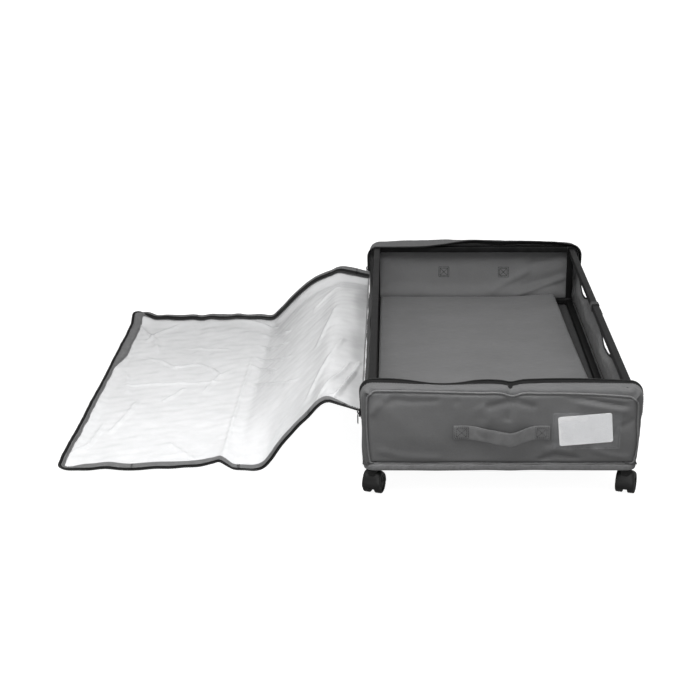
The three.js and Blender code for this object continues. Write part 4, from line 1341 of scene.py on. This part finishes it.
def border_rows(rows):
    """Grid over the border: each row is (offset in from the outer edge, lift), arrays or numbers."""
    out = []
    for offset, lift in rows:
        o = np.broadcast_to(np.asarray(offset, float), (len(outline),))
        h = np.broadcast_to(np.asarray(lift, float), (len(outline),))
        p = outline + edge_in * o[:, None]
        out.append(lid_point(p[:, 0], p[:, 1], h))
    return np.stack(out, 1)


def border_mix(flat, curled, rolled):
    """Blend (offset, lift) rows: lying flat, curled over at the back, rolled up at the front."""
    rest = 1 - curl - roll
    return [[rest * a[i] + curl * b[i] + roll * c[i] for i in (0, 1)]
            for a, b, c in zip(flat, curled, rolled)]


round_edge = path_length(outline)
flutter = 0.7 * waves(round_edge, round_edge * 0, 96, 90) + 0.35 * waves(round_edge, round_edge * 0, 97, 30)
cloth_in = BORDER + 1.0 * flutter - 9.0 * far * (1 - wide) + 2.0 * wide
zip_w = 9.0 - 3.4 * far
flat_rows = [(cloth_in, 1.1), (cloth_in - 1.2, 1.7), (cloth_in - 6, 1.9 + flutter * 0.5),
             (zip_w + 4, 1.9 + flutter * 0.5), (zip_w + 0.6, 2.0), (zip_w, 1.5)]
curl_rows = [(18.5 + flutter, 1.2), (17.5 + flutter, 2.0), (12.5, 3.2), (9.6, 5.4), (8.6, 7.4), (0.6, 7.8)]
roll_rows = [(cloth_in, 1.1), (cloth_in - 1.4, 4.4), (17.0, 8.8 + flutter * 0.6), (9, 7.6 + flutter * 0.6),
             (2.8, 6.2), (1.6, 5.3)]
cloth_top = border_rows(border_mix(flat_rows, curl_rows, roll_rows))
flat_zip = [(zip_w + 2.5, 0.9), (zip_w, 1.0), (zip_w * 0.66, 1.0), (zip_w * 0.33, 1.0), (1.4, 1.0)]
curl_zip = [(9.6, 6.0), (10.4, 6.2), (12.6, 6.2), (15.0, 5.4), (17.0, 4.6)]
roll_zip = [(3.6, 5.0), (2.0, 5.0), (1.2, 3.6), (0.9, 2.2), (0.8, 0.9)]
zip_top = border_rows(border_mix(flat_zip, curl_zip, roll_zip))
coil_line = border_rows([((1 - curl) * 0.6 + curl * 17.8, (1 - curl) * 1.3 + curl * 4.4)])[:, 0]
stitch_line = border_rows([((1 - curl - roll) * (zip_w + 2.2) + curl * 5.0 + roll * 5.0,
                             (1 - curl - roll) * 2.4 + curl * 8.3 + roll * 5.7)])[:, 0]
inner_line = border_rows([((1 - curl) * (cloth_in - 2.4) + curl * 16.6, 2.4)])[:, 0]
up_line = unit(np.cross(np.gradient(stitch_line, axis=0), inner_line - stitch_line))
up_line *= np.sign(up_line[:, 2:3] + 1e-9)


def segments(lo, hi):
    """Runs of outline samples whose s lies in [lo, hi], widened by one sample to meet the next slice."""
    inside = (outline[:, 0] >= lo - 1e-6) & (outline[:, 0] <= hi + 1e-6)
    runs, start = [], None
    for i, flag in enumerate(inside):
        if flag and start is None:
            start = i
        if not flag and start is not None:
            runs.append((start, i))
            start = None
    if start is not None:
        runs.append((start, len(inside)))
    return [(max(a - 1, 0) if lo > 0 or a > 0 else a, min(b + 1, len(outline))) for a, b in runs]


def blended(piece):
    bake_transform(piece)


def facing_up(grid, sample=slice(None)):
    """The grid, turned round where its normals point down."""
    return grid[:, ::-1] if grid_normals(grid)[..., 2][:, sample].mean() < 0 else grid


def slice_sheet(name, s0, s1):
    """Clear sheet of one slice, its corners rounded at the far end."""
    ss = np.linspace(s0, s1, max(10, int(round((s1 - s0) / 2.8)) + 1))
    straight = LID_LENGTH - R_FRONT
    if name == "end":
        ss = np.concatenate([np.linspace(s0, straight, 30)[:-1],
                             straight + (R_FRONT - 1.0) * np.sin(np.linspace(0, math.pi / 2, 16))])
    low_q, high_q = -edge_half(ss) + 2.5, edge_half(ss) - 2.5
    r1 = np.clip(ss - straight, 0, R_FRONT)
    low_q = low_q + R_FRONT - np.sqrt(np.clip(R_FRONT**2 - r1**2, 0, None))
    r2 = np.clip(ss - (LID_LENGTH - R_BACK), 0, R_BACK)
    high_q = high_q - R_BACK + np.sqrt(np.clip(R_BACK**2 - r2**2, 0, None))
    Q = low_q[:, None] + (high_q - low_q)[:, None] * np.linspace(0, 1, 270)[None]
    S = np.broadcast_to(ss[:, None], Q.shape)
    P = lid_point(S, Q)
    pad = lid_point(np.concatenate([S[:1] - 2, S, S[-1:] + 2]), np.concatenate([Q[:1], Q, Q[-1:]]))
    N = grid_normals(pad)[1:-1]
    uv = np.stack([S, Q], -1)
    if N[..., 2].mean() < 0:
        P, N, uv = P[:, ::-1], -N[:, ::-1], uv[:, ::-1]
    sheet = Shape().skin(P, 0.45, normals=N, uv=uv)
    return sheet.make(f"lid_sheet_{name}", CLEAR, None, "clear_sheet", sharp=70)


def put_binding(shape, cut):
    shape.skin(facing_up(cloth_top[cut][:, ::-1], 2), 0.8)


def put_zip(shape, cut):
    shape.skin(facing_up(zip_top[cut][:, ::-1]), 0.7).coil(coil_line[cut], 2, 1.45, 0.25)


def put_stitching(shape, cut):
    for line in (stitch_line, inner_line):
        shape.stitches(line[cut], up_line[cut], 4.8, 3.2, 0.7, 0.5)


TRIM = [  # name, what adds it to a shape, looks, slot
    ("binding", put_binding, LID_TAPE, "grey_fabric"),
    ("zip", put_zip, [ZIP_TAPE, ZIP_COIL], "zip_metal"),
    ("stitching", put_stitching, THREAD, "grey_fabric"),
]
for name, s0, s1, bodies, b0, b1, nodes in SLICES:
    sheet = slice_sheet(name, s0, s1)
    blended(sheet)
    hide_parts(*nodes)
    for what, put, looks, slot in TRIM:
        shape = Shape()
        for i0, i1 in segments(s0, s1):
            put(shape, slice(i0, i1))
        piece = shape.make(f"lid_{what}_{name}", looks, None, slot)
        blended(piece)

HEM_ROWS = [(-236.9, 129.5), (-237.6, 131), (-238.0, 134.5), (-238.2, 138.2), (-237.2, 139.6),
            (-235.6, 139.4)]


def hinge_hem():
    """Hem that closes the lid's hinge seam on the left wall."""
    y = np.linspace(-431, 431, 180)
    rise = 0.4 * waves(y, y * 0, 99, 120)
    hem = [np.stack([x - 0.25 * waves(y, y * 0 + z, 98, 60), y, z + rise], 1) for x, z in HEM_ROWS]
    Shape().skin(np.stack(hem, 1)[::-1], 1.2).make("hinge_binding", BINDING, "bag", "grey_fabric")
    line = np.stack([np.full_like(y, -238.3), y, np.full_like(y, 132.6)], 1)
    stitches = Shape().stitches(line, (-1, 0, 0), 4.8, 3.2, 0.7, 0.5)
    stitches.make("hinge_stitching", THREAD, "bag", "grey_fabric")


hinge_hem()

# ---- floor, light, camera -------------------------------------------------
floor_mesh = bpy.data.meshes.new("studio_floor")
reach = 14      # metres
corners = [(-reach, -reach, 0), (reach, -reach, 0), (reach, reach, 0), (-reach, reach, 0)]
floor_mesh.from_pydata(corners, [], [(0, 1, 2, 3)])
floor = bpy.data.objects.new("studio_floor", floor_mesh)
scene.collection.objects.link(floor)
k = Look("studio_paper")
tone = k.noise(0.6, detail=2, uv=False)
floor_mesh.materials.append(k.done(k.surface(k.mix(tone, (0.39, 0.39, 0.39), (0.41, 0.41, 0.41)), 0.95,
                                             specular_ior_level=0.0, emission_strength=0.92,
                                             emission_color=(1.0, 1.0, 1.0, 1.0))))
floor.visible_diffuse = False      # a light table: white itself, without lighting the bag from below
floor.visible_glossy = False

world = bpy.data.worlds.new("studio_world")
scene.world = world
world.use_nodes = True
sky = world.node_tree
where = sky.nodes.new("ShaderNodeTexCoord")
split = sky.nodes.new("ShaderNodeSeparateXYZ")
ramp = sky.nodes.new("ShaderNodeValToRGB")
sky.links.new(where.outputs["Generated"], split.inputs[0])
lift_up = sky.nodes.new("ShaderNodeMath")
lift_up.operation = "MULTIPLY_ADD"
lift_up.inputs[1].default_value = 0.5
lift_up.inputs[2].default_value = 0.5
sky.links.new(split.outputs[2], lift_up.inputs[0])
sky.links.new(lift_up.outputs[0], ramp.inputs[0])
stops = [(0.0, 0.24), (0.46, 0.34), (0.53, 0.62), (0.70, 0.58), (0.92, 0.55)]
for i, (at, level) in enumerate(stops):
    stop = ramp.color_ramp.elements[i] if i < 2 else ramp.color_ramp.elements.new(at)
    stop.position = at
    stop.color = (level, level, level, 1.0)
sky.links.new(ramp.outputs[0], sky.nodes["Background"].inputs[0])
sky.nodes["Background"].inputs[1].default_value = 1.0


def area_light(name, place, towards, size, power):
    data = bpy.data.lights.new(name, "AREA")
    data.shape = "RECTANGLE"
    data.size, data.size_y = size
    data.energy = power
    lamp = bpy.data.objects.new(name, data)
    scene.collection.objects.link(lamp)
    lamp.location = place
    lamp.rotation_euler = (Vector(towards) - Vector(place)).to_track_quat("-Z", "Y").to_euler()


area_light("key_softbox", (0.35, -0.72, 1.3), (0.25, -0.4, 0), (1.3, 0.7), 13)
area_light("lid_softbox", (-0.6, -0.85, 1.3), (-0.4, -0.35, 0), (1.0, 0.7), 9)
area_light("front_fill", (0.3, -2.6, 0.75), (0.27, -0.45, 0.12), (1.6, 0.9), 8)

CAMERA_PLACE, CAMERA_DOWN = (-182.0, -2830.1, 1086.6), 19.1        # recovered from the photograph
camera_data = bpy.data.cameras.new("camera")
camera = bpy.data.objects.new("camera", camera_data)
scene.collection.objects.link(camera)
camera.location = tuple(row(CAMERA_PLACE))
camera.rotation_euler = (math.radians(90 - CAMERA_DOWN), 0, 0)
camera_data.lens = 77.16
camera_data.sensor_width = 36
camera_data.shift_x = -0.062
scene.camera = camera
scene.view_settings.view_transform = "Standard"
scene.view_settings.look = "None"
